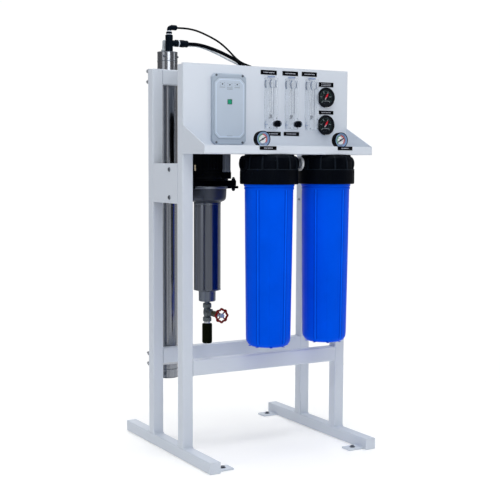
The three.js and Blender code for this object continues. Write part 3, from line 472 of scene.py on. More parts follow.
def stand():
    """Feet with their floor tabs, posts, tie plates and beams, with a weld bead at each joint."""
    for side, name in ((-1, "left"), (1, "right")):
        x0, x1 = sorted((side * INNER, side * WIDTH / 2))
        inner = side * INNER
        foot = Part()
        foot.box(x0, x1, -DEPTH / 2, DEPTH / 2, 0, TUBE, edge=3.2, steps=4, only="y")
        for end in (-1, 1):
            y = end * 267.5
            tab = rectangle(57, 45, inner - side * 26.5, y, corner=4)
            hole = circle(6, side * 239.5, y, 24)
            foot.slab([tab, hole], 5, at=(0, 0, 0), edge=0.7)
            weld(foot, [(inner, y - 22, 5.2), (inner, y + 22, 5.2)], 1.8)
            cap_y = end * (DEPTH / 2 - 1.2)
            foot.box(x0 + 1.3, x1 - 1.3, min(cap_y, cap_y + end), max(cap_y, cap_y + end),
                     1.3, TUBE - 1.3, edge=0.4)
        for y0, y1 in (FRONT_POST, REAR_POST):
            weld(foot, [(x0 + 1, y0, TUBE), (x1 - 1, y0, TUBE)])
            weld(foot, [(x0 + 1, y1, TUBE), (x1 - 1, y1, TUBE)])
            weld(foot, [(inner, y0 + 1, TUBE + 0.3), (inner, y1 - 1, TUBE + 0.3)], 2.0)
        foot.done(f"{name}_foot_tube", white_coat, slot="white_coat", replaces=[f"{name}_foot"])
        for where, (y0, y1) in (("front", FRONT_POST), ("rear", REAR_POST)):
            post = Part()
            post.box(x0, x1, y0, y1, TUBE + GAP, HEIGHT, edge=3.2, steps=4, only="z")
            post.box(x0 + 1.5, x1 - 1.5, y0 + 1.5, y1 - 1.5, HEIGHT - 1, HEIGHT + 0.8, edge=0.7)
            post.done(f"{name}_{where}_post_tube", white_coat, slot="white_coat",
                      replaces=[f"{name}_{where}_post"])
        plate = Part()
        outer = side * WIDTH / 2
        y0, y1, z0, z1 = FRONT_POST[1] + GAP, REAR_POST[0] - GAP, 796, 920
        holes = [circle(4.5, -33, z, 24) for z in (814, 901)]
        middle = ((y0 + y1) / 2, (z0 + z1) / 2)
        edges = rectangle(y1 - y0, z1 - z0, *middle, corner=0.5)
        plate.slab([edges, *holes], 5, edge=0.6)
        plate.bm.transform(Matrix.Translation((min(outer, outer - side * 5), 0, 0)) @ UPRIGHT)
        for y in (y0 + 0.4, y1 - 0.4):
            weld(plate, [(outer - side * 4.6, y, z0 + 8), (outer - side * 4.6, y, z1 - 8)], 1.5)
        plate.done(f"{name}_tie_plate", white_coat, slot="white_coat", replaces=[f"{name}_side_plate"])
    for name, y0, z0 in (("front_lower_beam", FRONT_POST[0], 262), ("rear_lower_beam", REAR_POST[0], 267),
                         ("rear_upper_beam", REAR_POST[0], HEIGHT - 48)):
        beam = Part()
        x, y1, z1 = INNER - GAP, y0 + TUBE, z0 + 48
        beam.box(-x, x, y0, y1, z0, z1, edge=3.2, steps=4, only="x")
        for side in (-1, 1):
            weld(beam, [(side * x, y0 + 2, z0), (side * x, y1 - 2, z0)], 1.7)
            weld(beam, [(side * x, y0 + 2, z1), (side * x, y1 - 2, z1)], 1.7)
        beam.done(f"{name}_tube", white_coat, slot="white_coat", replaces=[name])


def hex_bolt(part, along, at, size=6.5, head=5.0, washer=9.5, stud=0.0):
    """A hexagon head on a washer, pointing along an axis from its seat."""
    part.turned([(0, 0), (washer, 0), (washer, 1.4), (0, 1.4)], along, at, 32, 0.3)
    head_profile = [(0, 1.4), (size, 1.4), (size, head + 0.6), (size - 0.9, head + 1.4), (0, head + 1.4)]
    part.turned(head_profile, along, at, 6)
    if stud:
        part.rod(size * 0.55, head, head + 1.4 + stud, along, at, 20, 0.5)


def button_bolt(part, along, at, radius=7.0, height=4.2):
    """A domed socket screw."""
    dome = [(2.6, 1.2), (2.6, height - 0.3), (3.4, height), (radius * 0.75, height * 0.86),
            (radius * 0.97, height * 0.4), (radius, 0.2), (0, 0)]
    part.turned([(0, 1.2), *dome], along, at, 32)


def stand_hardware():
    """Anchor bolts, tie plate bolts and one screw in a rear post."""
    anchors = Part()
    for x in (-239.5, 239.5):
        for y in (-267.5, 267.5):
            hex_bolt(anchors, "z", (x, y, 5), size=6.2, head=4.2, washer=9.0)
            anchors.rod(4.6, 0.3, 6, "z", (x, y, 0), 20)
    anchors.done("anchor_bolts", dark_zinc)
    ties = Part()
    for z in (814, 901):
        button_bolt(ties, "-x", (-WIDTH / 2, -33, z), 7.2, 4.0)
        button_bolt(ties, "x", (WIDTH / 2, -33, z), 7.2, 4.0)
    ties.done("tie_plate_bolts", dark_zinc)
    spare = Part()
    button_bolt(spare, "-x", (267, 104, 797), 5.0, 2.8)
    spare.done("rear_post_screw", zinc)


stand()
stand_hardware()

# ---------------------------------------------------------------- instrument panel

PANEL_Y, SHEET, LIP_Y = -127.3, 2.0, -267.0
TRAY_Z, LIP_TOP, GUSSET_TOP, PANEL_TOP = 949.0, 975.0, 1037.0, 1224.0


def swept(part, section, x0, x1):
    """A closed outline of (y, z) points drawn out along X."""
    bm = bmesh.new()
    rings = [[bm.verts.new((x, y, z)) for y, z in section] for x in (x0, x1)]
    count = len(section)
    for k in range(count):
        m = (k + 1) % count
        bm.faces.new((rings[0][k], rings[0][m], rings[1][m], rings[1][k]))
    for ring in rings:
        bm.faces.new(ring)
    return part.take_bm(bm, Matrix.Identity(4))


def folded_section(outer, thickness, radius):
    """The closed section of a folded sheet, from its outer path; corners get a bend radius."""
    path = [Vector(p) for p in softened(outer, radius, 6)]
    inner = []
    for i, p in enumerate(path):
        a = path[max(i - 1, 0)]
        b = path[min(i + 1, len(path) - 1)]
        along = (b - a).normalized()
        inner.append(tuple(p + Vector((-along.y, along.x)) * thickness))
    return [tuple(p) for p in path] + inner[::-1]


def panel():
    """A folded sheet with a tray and a lip, and a cheek at each end."""
    half = WIDTH / 2
    sheet = Part()
    outer = [(PANEL_Y + SHEET, PANEL_TOP), (PANEL_Y + SHEET, TRAY_Z), (LIP_Y, TRAY_Z), (LIP_Y, LIP_TOP)]
    swept(sheet, folded_section(outer, -SHEET, 4.5), -half + 1.2, half - 1.2)
    cheek = [(LIP_Y, TRAY_Z), (PANEL_Y + SHEET, TRAY_Z), (PANEL_Y + SHEET, PANEL_TOP),
             (PANEL_Y, PANEL_TOP), (PANEL_Y, GUSSET_TOP), (LIP_Y, LIP_TOP)]
    for x in (-half, half - SHEET):
        side = Part()
        side.slab([softened(cheek, 1.2, 3, closed=True)], SHEET, edge=0.6, steps=3)
        side.bm.transform(Matrix.Translation((x, 0, 0)) @ UPRIGHT)
        sheet.merge(side)
    sheet.box(-half + 2, half - 2, PANEL_Y + SHEET - 0.4, PANEL_Y + 16, PANEL_TOP - SHEET, PANEL_TOP,
              edge=0.7)
    sheet.done("folded_panel", white_coat, slot="white_coat", replaces=["instrument_panel"], sharp=38)


panel()

LABELS = [(-0.9, 1207, 59.4, 14), (79.3, 1207, 58.6, 14), (152.0, 1208, 57.8, 14),
          (16.7, 1015, 57, 12.5), (85.4, 1015.5, 57.8, 12.5)]  # middle x and z, width, height


def label(plates, marks, x, z, width, front, height=13.5, lines=1, seed=0):
    """A black plate with rows of short pale strokes that spell nothing."""
    plates.box(x - width / 2, x + width / 2, front - 1.2, front + 0.4, z - height / 2, z + height / 2,
               edge=0.5)
    span = width * (0.50 if seed > 6 else 0.66)
    for row in range(lines):
        level = z + (row - (lines - 1) / 2) * -5.2
        place = x - span / 2
        k = seed
        while place < x + span / 2 - 1:
            stroke = 1.1 + 1.3 * abs(math.sin(7.3 * (k + 1) + seed))
            tall = 1.1 if lines > 1 else 1.5
            marks.box(place, place + stroke, front - 1.32, front - 1.0, level - tall, level + tall, edge=0)
            place += stroke + (0.9 if k % 5 else 2.1)
            k += 1


def labels():
    plates, marks = Part(), Part()
    for k, (x, z, width, height) in enumerate(LABELS):
        label(plates, marks, x, z, width, PANEL_Y, height, seed=k)
    label(plates, marks, 217.7, 1177.2, 57, PANEL_Y, 15, lines=2, seed=5)
    label(plates, marks, 218.8, 1087.2, 57, PANEL_Y, 12.0, seed=6)
    label(plates, marks, -85.8, 967.4, 59.3, LIP_Y, 11.5, seed=7)
    label(plates, marks, 197.4, 969.4, 56, LIP_Y, 12.0, seed=8)
    plates.done("label_plates", label_black, weighted=False)
    marks.done("label_marks", label_print, weighted=False)


labels()

# ---------------------------------------------------------------- control box

BOX_X, BOX_Z = -148.0, 1087.5


def control():
    """The back box, its lid with a raised pad, three lamps and the power rocker."""
    back = Part()
    back.box(BOX_X - 53, BOX_X + 53, -125.0, -81.0, BOX_Z - 100, BOX_Z + 100, edge=3, steps=4)
    back.turned([(0, -8), (8, -8), (9.5, -7), (9.5, -2), (11, -1), (11, 1), (0, 1)], "z",
                (BOX_X, -97, BOX_Z - 100), 6)
    back.done("control_back_box", grey_box, slot="grey_box", replaces=["control_box"])
    cover = Part()
    rim = rectangle(120, 217, chamfer=11)
    inner = rectangle(109, 187.5, 0, 2.5, chamfer=16)
    cover.slab([softened(rim, 1.5, 3, closed=True)], 9.6, "-y", (BOX_X, PANEL_Y - GAP, BOX_Z), edge=1.4,
               steps=3)
    cover.slab([softened(rectangle(117, 214, chamfer=11), 1.5, 3, closed=True), inner], 11,
               "-y", (BOX_X, PANEL_Y - GAP, BOX_Z), edge=1.2, steps=3)
    cover.done("control_lid", grey_box, slot="grey_box", replaces=["control_cover"])
    pad = Part()
    shape = softened(rectangle(107, 185, 0, 2.5, chamfer=15.5), 1.5, 3, closed=True)
    hole = rectangle(14.0, 14.6, 0, 22.5, corner=0.8)
    pad.slab([shape, hole], 12.6, "-y", (BOX_X, PANEL_Y - GAP, BOX_Z), edge=0.7)
    pad.done("control_pad", grey_pad, slot="grey_box")
    line = Part()
    outer = softened(rectangle(96.5, 174.5, 0, 2.5, chamfer=13.0), 1.0, 3, closed=True)
    inside = softened(rectangle(94.3, 172.3, 0, 2.5, chamfer=12.4), 1.0, 3, closed=True)
    line.slab([outer, inside], 0.35, "-y", (BOX_X, PANEL_Y - GAP - 12.5, BOX_Z), edge=0.05)
    line.done("control_pad_line", pad_line)
    screws, marks, lamps = Part(), Part(), Part()
    for dx in (-46, 46):
        for dz in (-102, 103):
            at = (BOX_X + dx, PANEL_Y - GAP - 10.6, BOX_Z + dz)
            screws.turned([(0, 0), (3.6, 0), (3.6, 1.2), (2.6, 2.0), (0.9, 2.1), (0.9, 1.2), (0, 1.2)],
                          "-y", at, 24)
    screws.done("lid_screws", dark_zinc)
    front = PANEL_Y - GAP - 12.55
    for k, dx in enumerate((-26, 0, 26)):
        x, z = BOX_X + dx, 1163.5 - (1.5 if k == 1 else 0)
        lamps.turned([(0, -0.2), (2.1, -0.2), (2.1, 0.8), (1.3, 1.7), (0, 1.9)], "-y", (x, front, z), 24)
        for side in (-1, 1):
            marks.box(x - 9, x - 5, front - 0.25, front + 0.1, z + side * 4 - 0.5, z + side * 4 + 0.5, edge=0)
            marks.box(x + 5, x + 9, front - 0.25, front + 0.1, z + side * 4 - 0.5, z + side * 4 + 0.5, edge=0)
        for j in range(6):
            stroke_x = x - 9.5 + j * 3.3
            marks.box(stroke_x, stroke_x + 2.2, front - 0.25, front + 0.1, z - 10.6, z - 8.6, edge=0)
            if k == 1:
                marks.box(stroke_x, stroke_x + 2.2, front - 0.25, front + 0.1, z - 14.6, z - 12.8, edge=0)
    for j in range(5):
        x = BOX_X - 9 + j * 3.8
        marks.box(x, x + 2.6, front - 0.25, front + 0.1, 1004.5, 1006.2, edge=0)
    lamps.done("indicator_lamps", dark_trim)
    marks.done("pad_marks", mark_grey, weighted=False)
    bezel = Part()
    bezel.slab([rectangle(16.2, 15.6, 0, 22.5, corner=1.2), rectangle(13.4, 13.8, 0, 22.5, corner=0.8)], 1.0,
               "-y", (BOX_X, front + 0.3, BOX_Z), edge=0.3)
    bezel.done("rocker_bezel", dark_trim)
    rocker = Part()
    h, w = 6.4, 6.2
    face = [(-133, -h + 2), (-136, -h), (-141.6, -h), (-140.9, 0), (-141.6, h), (-136, h), (-133, h - 2)]
    section = [(y, 1110 + z) for y, z in face]
    swept(rocker, section, BOX_X - w, BOX_X + w)
    bmesh.ops.bevel(rocker.bm, geom=list(rocker.bm.edges), offset=0.5, segments=2, affect="EDGES")
    for z in (1106.8, 1113.2):
        rocker.box(BOX_X - 1.9, BOX_X + 1.9, -141.75, -141.0, z - 0.35, z + 0.35, edge=0)
    rocker.done("rocker_switch", green_switch, body="rocker", slot="green_switch", replaces=["power_rocker"])


control()

# ---------------------------------------------------------------- flowmeters


def arc_band(part, radius0, radius1, start, stop, y0, y1, x, z, steps=24):
    """A curved band on a dial, from clock angle start to stop in degrees."""
    angles = [math.radians(start + (stop - start) * k / steps) for k in range(steps + 1)]
    outer = [(radius1 * math.sin(a), radius1 * math.cos(a)) for a in angles]
    inner = [(radius0 * math.sin(a), radius0 * math.cos(a)) for a in angles]
    part.slab([outer + inner[::-1]], y1 - y0, "-y", (x, -y0, z), edge=0)


METER_FRONT, METER_BACK, METER_AXIS = -152.6, -127.6, -140.1
METERS = {1: 1.0, 2: 77.7, 3: 154.4}


def clear_block(name, x):
    """The body is a hollow block, so that its walls stay thin and clear."""
    block = Part()
    outline = softened(rectangle(36, 163, x, 1109.5), 1.5, 3, closed=True)
    block.slab([outline], METER_BACK - METER_FRONT, "-y", (0, METER_BACK, 0), edge=0.9)
    bore = [(0, 1062.6), (5.6, 1062.6), (6.6, 1158), (7.6, 1160), (7.6, 1176), (0, 1176)]
    hole = Part()
    hole.turned(bore, "z", (x, METER_AXIS, 0), 40)
    bmesh.ops.reverse_faces(hole.bm, faces=hole.bm.faces)
    block.merge(hole)
    block.done(f"meter_block_{name}", acrylic, slot="clear_acrylic", replaces=[f"flowmeter_{name}"],
               sharp=40, weighted=False)
    edges = Part()
    for side in (-1, 1):
        for y in (METER_FRONT + 1.0, METER_BACK - 1.0):
            edges.tube([(x + side * 17.2, y, 1030), (x + side * 17.2, y, 1189)], 0.55, 8)
    for z in (1029.2, 1190.0):
        edges.tube([(x - 16, METER_FRONT + 0.9, z), (x + 16, METER_FRONT + 0.9, z)], 0.6, 8)
    edges.done(f"meter_edges_{name}", acrylic_edge, weighted=False)


METER_PORTS, METER_VALVE = (1052, 1171), 1045
SEAL_HALF = 12.5
# Each seal's outline seen through the block: y, offset in x, radius, middle and half angle, thickness.
SEAL_ARCS = [(-128.6, 0, 16.4, 180, 40, 1.1), (-128.6, 0, 12.6, 180, 34, 0.7),
             (-146.6, 2, 10.4, 180, 60, 1.9),
             (-146.6, 8, 4.0, 0, 60, 1.0), (-146.6, 19.5, 5.5, 180, 60, 0.8)]


def flowmeter(index, x):
    """A clear block with its bore, a guide rod, a printed scale, end plugs and rear fittings."""
    clear_block(index, x)
    inside = Part()
    inside.rod(0.8, 1062.8, 1175.8, "z", (x, METER_AXIS, 0), 12, 0)
    inside.done(f"meter_guide_{index}", meter_clear, weighted=False)

    plugs = Part()
    cap = [(0, 1190.5), (12, 1190.5), (12, 1193.6), (11, 1195), (0, 1195)]
    plugs.turned(cap, "z", (x, METER_AXIS, 0), 48, 0.6)
    for z in METER_PORTS:
        plugs.turned([(0, 95.6), (9, 95.6), (9, 125.2), (0, 125.2)], "-y", (x, 0, z), 32, 0.6)
        plugs.turned([(9.2, 117), (14, 117), (14, 125.0), (9.2, 125.0)], "-y", (x, 0, z), 6)
    plugs.done(f"meter_fittings_{index}", meter_blue)

    seals = Part()
    for y, centre, radius, middle, spread, thick in SEAL_ARCS:
        tall = SEAL_HALF / math.sin(math.radians(spread))
        angles = [math.radians(middle + spread * (k / 12 - 1)) for k in range(25)]
        arc = [(x + centre + radius * math.cos(a), y, METER_PORTS[1] + tall * math.sin(a)) for a in angles]
        seals.tube(arc, thick, 10)
    seals.done(f"meter_seals_{index}", meter_seal, weighted=False)
    lower = Part()
    angles = [math.radians(180 + 46 * (k / 12 - 1)) for k in range(25)]
    lower.tube([(x + 15.4 * math.cos(a), -128.6, 1044 + 15.5 * math.sin(a)) for a in angles], 0.9, 10)
    lower.tube([(x - 14.8, -128.8, 1044), (x - 6.5, -129.4, 1044)], 1.5, 10)
    lower.done(f"meter_lower_seal_{index}", meter_tint, weighted=False)

    scale = Part()
    for k in range(21):
        z = 1074 + k * 3.9
        length = 4.6 if k % 5 == 0 else 2.6
        scale.box(x + 7.6, x + 7.6 + length, METER_FRONT - 0.12, METER_FRONT + 0.05, z - 0.25, z + 0.25,
                  edge=0)
    scale.done(f"meter_scale_{index}", meter_print, weighted=False)
    line = Part()
    line.box(x + 9.3, x + 10.7, METER_AXIS - 0.5, METER_AXIS + 0.5, 1078, 1160, edge=0.2)
    line.box(x + 0.4, x + 1.1, METER_AXIS - 0.5, METER_AXIS + 0.5, 1080, 1160, edge=0.2)
    line.done(f"meter_bore_line_{index}", meter_shade, weighted=False)

    body = Part()
    profile = [(0, 0), (1.6, 0), (2.2, 2.0), (4.0, 6.0), (5.1, 8.6), (5.3, 9.4), (5.3, 10.6), (3.2, 11.2),
               (2.4, 12.5), (0, 12.5)]
    body.turned(profile, "z", (x, METER_AXIS, 1064), 32)
    body.done(f"meter_float_{index}", float_grey, body=f"float_{index}", slot="dark_trim",
              replaces=[f"float_{index}"])
    screws = Part()
    for side, z in ((-1, 1063.5), (-1, 1033.5), (1, 1063.5), (1, 1033.5)):
        screws.turned([(0, 0), (2.0, 0), (2.0, 0.8), (1.2, 1.3), (0, 1.3)], "-y",
                      (x + side * 13.2, METER_FRONT, z), 24, 0.2)
    screws.done(f"meter_screws_{index}", float_grey)
    if index == 3:
        return
    valve = Part()
    valve.turned([(0, -5), (4.2, -5), (4.2, 0.1), (6.4, 0.1), (6.4, 6.6), (5.4, 8.8), (0, 8.8)], "-y",
                 (x, METER_FRONT, METER_VALVE), 32, 0.3)
    valve.done(f"meter_bonnet_{index}", meter_clear)
    knob = Part()
    grip = [(0, 166), (8.6, 166), (9.6, 167.4), (10.2, 171), (10.2, 186), (9.4, 189.2), (7.8, 190),
            (5.6, 190), (4.8, 188.6), (0, 188.6)]

    def fluted(angle, radius, height):
        return radius - (0.55 * max(0.0, math.cos(16 * angle)) if radius > 8.5 else 0.0)

    knob.turned(grip, "-y", (x, 0, METER_VALVE), 128, 0.3, ripple=fluted)
    knob.rod(3.4, 157.6, 167, "-y", (x, 0, METER_VALVE), 20, 0.3)
    knob.box(x - 0.5, x + 0.5, -190.0, -188.2, METER_VALVE + 0.5, METER_VALVE + 8.0, edge=0.1)
    # A grey ring round the knob and a grey arc on its face: painted highlight on the black knob.
    shine = Part()
    shine.ring(10.5, 9.8, 173.0, 174.6, "-y", (x, 0, METER_VALVE), 48, 0.3)
    arc_band(shine, 5.4, 7.2, 25, 150, 189.9, 190.3, x, METER_VALVE)
    shine.done(f"meter_knob_painted_highlight_{index}", knob_painted_highlight, body=f"knob_{index}", weighted=False)
    knob.done(f"meter_knob_{index}", black_plastic, body=f"knob_{index}", slot="black_plastic",
              replaces=[f"needle_knob_{index}"])


meter_blue = look("meter_blue", (0.17, 0.23, 0.38), 0.35, vary=0.08, patch=60, grain=900)
meter_clear = look("meter_clear", (0.60, 0.67, 0.78), 0.3, vary=0.04, patch=40, Alpha=0.16)
meter_seal = look("meter_seal", (0.10, 0.145, 0.24), 0.4, vary=0.25, patch=120, Alpha=0.9)
meter_tint = look("meter_tint", (0.25, 0.32, 0.47), 0.4, vary=0.2, patch=120, Alpha=0.9)
meter_print = look("meter_print", (0.20, 0.25, 0.34), 0.5, vary=0.05)
meter_shade = look("meter_shade", (0.15, 0.18, 0.25), 0.5, vary=0.2, patch=160, Alpha=0.8)
# Grey for the knob's ring and face arc: a painted highlight.
knob_painted_highlight = look("knob_painted_highlight", (0.10, 0.13, 0.18), 0.35, vary=0.2, patch=90)
float_grey = look("float_grey", (0.13, 0.15, 0.18), 0.45, vary=0.15, patch=90)
for meter_index, meter_x in METERS.items():
    flowmeter(meter_index, meter_x)

# ---------------------------------------------------------------- gauges


def tick(part, inner, outer, width, angle, front, x, z):
    """A radial stroke on a dial at a clock angle in degrees."""
    turn = Matrix.Rotation(math.radians(angle), 4, "Y")
    bm = bmesh.new()
    size = Matrix.Translation((0, 0, (inner + outer) / 2)) @ Matrix.Diagonal((width, 0.3, outer - inner, 1))
    bmesh.ops.create_cube(bm, size=1.0, matrix=size)
    part.take_bm(bm, Matrix.Translation((x, front, z)) @ turn)


def figures(name, x, front, z, radius, values, size, material, body="unit"):
    """Plain numbers round a dial."""
    for k, (value, angle) in enumerate(values):
        text = bpy.data.curves.new(f"{name}_{k}", "FONT")
        text.body, text.size, text.extrude = str(value), size / 1000, 0.00008
        text.align_x, text.align_y = "CENTER", "CENTER"
        holder = bpy.data.objects.new(f"{name}_{k}", text)
        scene.collection.objects.link(holder)
        a = math.radians(angle)
        place = Vector((x + radius * math.sin(a), front, z + radius * math.cos(a))) / 1000
        holder.matrix_world = Matrix.Translation(place) @ Matrix.Rotation(math.pi / 2, 4, "X")
        holder.data.materials.append(material)
        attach(holder, body)


def pointer(name, x, front, z, length, reading, material, body, node, hub=3.2, width=1.7, tail=0.32):
    part = Part()
    outline = [(-width * 0.8, -length * tail), (width * 0.8, -length * tail), (width, length * 0.55),
               (0.35, length), (-0.35, length), (-width, length * 0.55)]
    part.slab([outline], 0.8, "-y", (0, 0, 0), edge=0.15)
    part.turned([(0, 0), (hub, 0), (hub, 1.2), (hub * 0.6, 2.0), (0, 2.0)], "-y", (0, 0, 0), 32, 0.2)
    part.bm.transform(Matrix.Translation((x, front, z)) @ Matrix.Rotation(math.radians(reading), 4, "Y"))
    part.done(name, material, body=body, replaces=[node])


def panel_gauge(name, z):
    """A black dial in a bezel, its case behind the panel and its red pointer."""
    x = 212
    case = Part()
    case.turned([(0, 81.6), (6.5, 81.6), (6.5, 95.6), (25, 95.6), (25, 127.6), (29, 127.6), (29, 133.5),
                 (0, 133.5)], "-y", (x, 0, z), 64, 0.5)
    case.turned([(6.6, 97), (11, 97), (11, 104), (6.6, 104)], "-y", (x, 0, z), 6)
    case.done(f"gauge_case_{name}", black_plastic, slot="chrome", replaces=[f"panel_gauge_{name}"])
    back = Part()
    back.turned([(26, 127.6), (28.6, 127.6), (30.0, 129.5), (31.4, 135.0), (31.4, 136.0), (31.0, 134.4),
                 (26, 134.4), (26, 127.6)], "-y", (x, 0, z), 96, 0.5)
    back.done(f"gauge_bezel_back_{name}", bezel_back, slot="chrome")
    bezel = Part()
    bezel.turned([(31.2, 135.4), (32.4, 135.6), (33, 136.8), (33, 138.6), (32.2, 140.4), (30.8, 141),
                  (30.4, 140.4), (31.2, 138.0), (31.2, 135.4)], "-y", (x, 0, z), 96, 0.4)
    bezel.done(f"gauge_bezel_{name}", bezel_dark, slot="chrome")
    # A chrome strip on the lower right of the bezel only: a painted highlight where light catches the rim.
    lip = Part()
    angles = [math.radians(105 + 85 * k / 32) for k in range(33)]
    lip.tube([(x + 32.0 * math.sin(a), -140.2, z + 32.0 * math.cos(a)) for a in angles], 0.9, 10)
    lip.done(f"gauge_bezel_painted_highlight_{name}", chrome, weighted=False)
    rim = Part()
    rim.turned([(27.4, 134.6), (31.3, 134.6), (31.3, 140.0), (29.8, 140.0), (27.4, 135.6), (27.4, 134.6)],
               "-y",
               (x, 0, z), 96, 0.3)
    rim.done(f"gauge_rim_{name}", dial_black)
    dial = Part()
    dial.turned([(0, 133.4), (29.4, 133.4), (29.4, 135), (0, 135)], "-y", (x, 0, z), 64, 0.1)
    dial.done(f"gauge_dial_{name}", dial_black)
    white, green = Part(), Part()
    for k in range(41):
        angle = -135 + k * 270 / 40
        major = k % 8 == 0
        target = white if major else green
        tick(target, 18.6 if major else 20.4, 22.4, 1.0 if major else 0.6, angle, -135.15, x, z)
    for k in range(21):
        tick(green, 12.6, 13.8, 0.8, -135 + k * 13.5, -135.15, x, z)
    for k in range(7):
        white.box(x - 8 + k * 2.4, x - 6.6 + k * 2.4, -135.3, -134.9, z - 11.8, z - 10.2, edge=0)
    white.done(f"gauge_ticks_{name}", dial_print, weighted=False)
    green.done(f"gauge_inner_ticks_{name}", dial_green, weighted=False)
    figures(f"gauge_number_{name}", x, -135.25, z, 16.4,
            [(0, -135), (20, -81), (40, -27), (60, 27), (80, 81), (100, 135)], 4.6, dial_print)
    pointer(f"gauge_pointer_{name}", x, -136, z, 16.5, 33, dial_red, f"{name}_pointer",
            f"panel_gauge_{name}_pointer", hub=2.4, width=2.8)
    hub = Part()
    tail = [(-1.5, -8.0), (1.5, -8.0), (1.3, -2), (-1.3, -2)]
    hub.slab([tail], 0.5, "-y", (0, 0, 0), edge=0.1)
    hub.turned([(0, 0), (1.8, 0), (1.8, 0.8), (0, 0.8)], "-y", (0, 0, 0), 24, 0.2)
    hub.bm.transform(Matrix.Translation((x, -137.3, z)) @ Matrix.Rotation(math.radians(33), 4, "Y"))
    hub.done(f"gauge_pointer_tail_{name}", dial_print, body=f"{name}_pointer", weighted=False)
    cover = Part()
    cover.turned([(0, 138.6), (30.6, 138.4), (30.6, 139.0), (18, 139.6), (0, 140.0)], "-y", (x, 0, z), 64)
    cover.done(f"gauge_lens_{name}", lens)


dial_print = look("dial_print", (0.30, 0.35, 0.37), 0.5, vary=0.05)
dial_green = look("dial_green", (0.035, 0.13, 0.085), 0.5, vary=0.1, patch=90)
dial_red = look("dial_red", (0.62, 0.004, 0.02), 0.5, vary=0.05, Specular_IOR_Level=0.1)
for gauge_name, gauge_z in (("upper", 1135.0), ("lower", 1046.0)):
    panel_gauge(gauge_name, gauge_z)


def tray_gauge(name, x):
    """A small pressure gauge on a stem through the tray."""
    y, z = -238.0, 995.0
    case = Part()
    case.turned([(0, 227), (21.5, 227), (23.6, 228), (24.2, 230), (24.2, 240), (25, 241.5), (25, 247.8),
                 (24.2, 249), (22.4, 249), (22.2, 243), (0, 243)], "-y", (x, 0, z), 96, 0.4)
    case.rod(6.5, 949.5, 972, "z", (x, y, 0), 32, 0.4)
    case.box(x - 7.5, x + 7.5, y - 7.5, y + 7.5, 956, 971.5, edge=1.2)
    case.turned([(6.6, 951.2), (11, 951.2), (11, 955.5), (6.6, 955.5)], "z", (x, y, 0), 6)
    case.done(f"{name}_gauge_case", black_paint, slot="black_metal", replaces=[f"{name}_gauge"])
    dial = Part()
    dial.turned([(0, 243.1), (22.1, 243.1), (22.1, 243.6), (0, 243.6)], "-y", (x, 0, z), 64)
    dial.done(f"{name}_gauge_dial", dial_blue)
    ring = Part()
    ring.ring(22.2, 20.2, 243.2, 247.9, "-y", (x, 0, z), 96, 0.6)
    ring.done(f"{name}_gauge_inner_ring", ring_blue)
    face = Part()
    face.turned([(0, 243.4), (12.6, 243.4), (12.6, 243.75), (0, 243.75)], "-y", (x, 0, z), 64)
    face.done(f"{name}_gauge_face_disc", mark_white)
    green, red, dark = Part(), Part(), Part()
    arc_band(green, 12.4, 15.2, -135, 0, 243.6, 243.9, x, z)
    arc_band(red, 12.4, 15.6, 0, 135, 243.6, 243.9, x, z)
    for k in range(31):
        major = k % 5 == 0
        tick(dark, 16.8 if major else 17.8, 19.6, 0.7 if major else 0.35, -135 + k * 9, -243.75, x, z)
    for k in range(5):
        dark.box(x - 5.4 + k * 2.3, x - 4.2 + k * 2.3, -243.9, -243.5, z - 17.4, z - 16.0, edge=0)
    green.done(f"{name}_gauge_green", mark_green, weighted=False)
    red.done(f"{name}_gauge_red", mark_red, weighted=False)
    dark.done(f"{name}_gauge_ticks", mark_black, weighted=False)
    figures(f"{name}_gauge_number", x, -243.9, z, 9.6, [(0, -135), (30, -54), (60, 27), (90, 108)], 3.4,
            mark_black)
    pointer(f"{name}_gauge_needle", x, -244, z, 16, 60, needle_navy, f"{name}_pointer",
            f"{name}_gauge_pointer", hub=3.2, width=2.2, tail=0.75)
    cover = Part()
    cover.turned([(0, 247.3), (21.8, 247.2), (21.8, 247.8), (15, 248.2), (0, 248.5)], "-y", (x, 0, z), 64)
    cover.done(f"{name}_gauge_lens", lens)


ring_blue = look("ring_blue", (0.22, 0.36, 0.62), 0.35, vary=0.05, patch=60)
needle_navy = look("needle_navy", (0.008, 0.012, 0.035), 0.4, vary=0.1, patch=60)
for gauge_name, gauge_x in (("inlet", -91.0), ("outlet", 196.5)):
    tray_gauge(gauge_name, gauge_x)

# ---------------------------------------------------------------- water filters


FILTER_Y, PORT_Z = -197.0, 921.0
HEAD_BOLTS = ((-46, -52), (46, -52), (-46, 52), (46, 52))


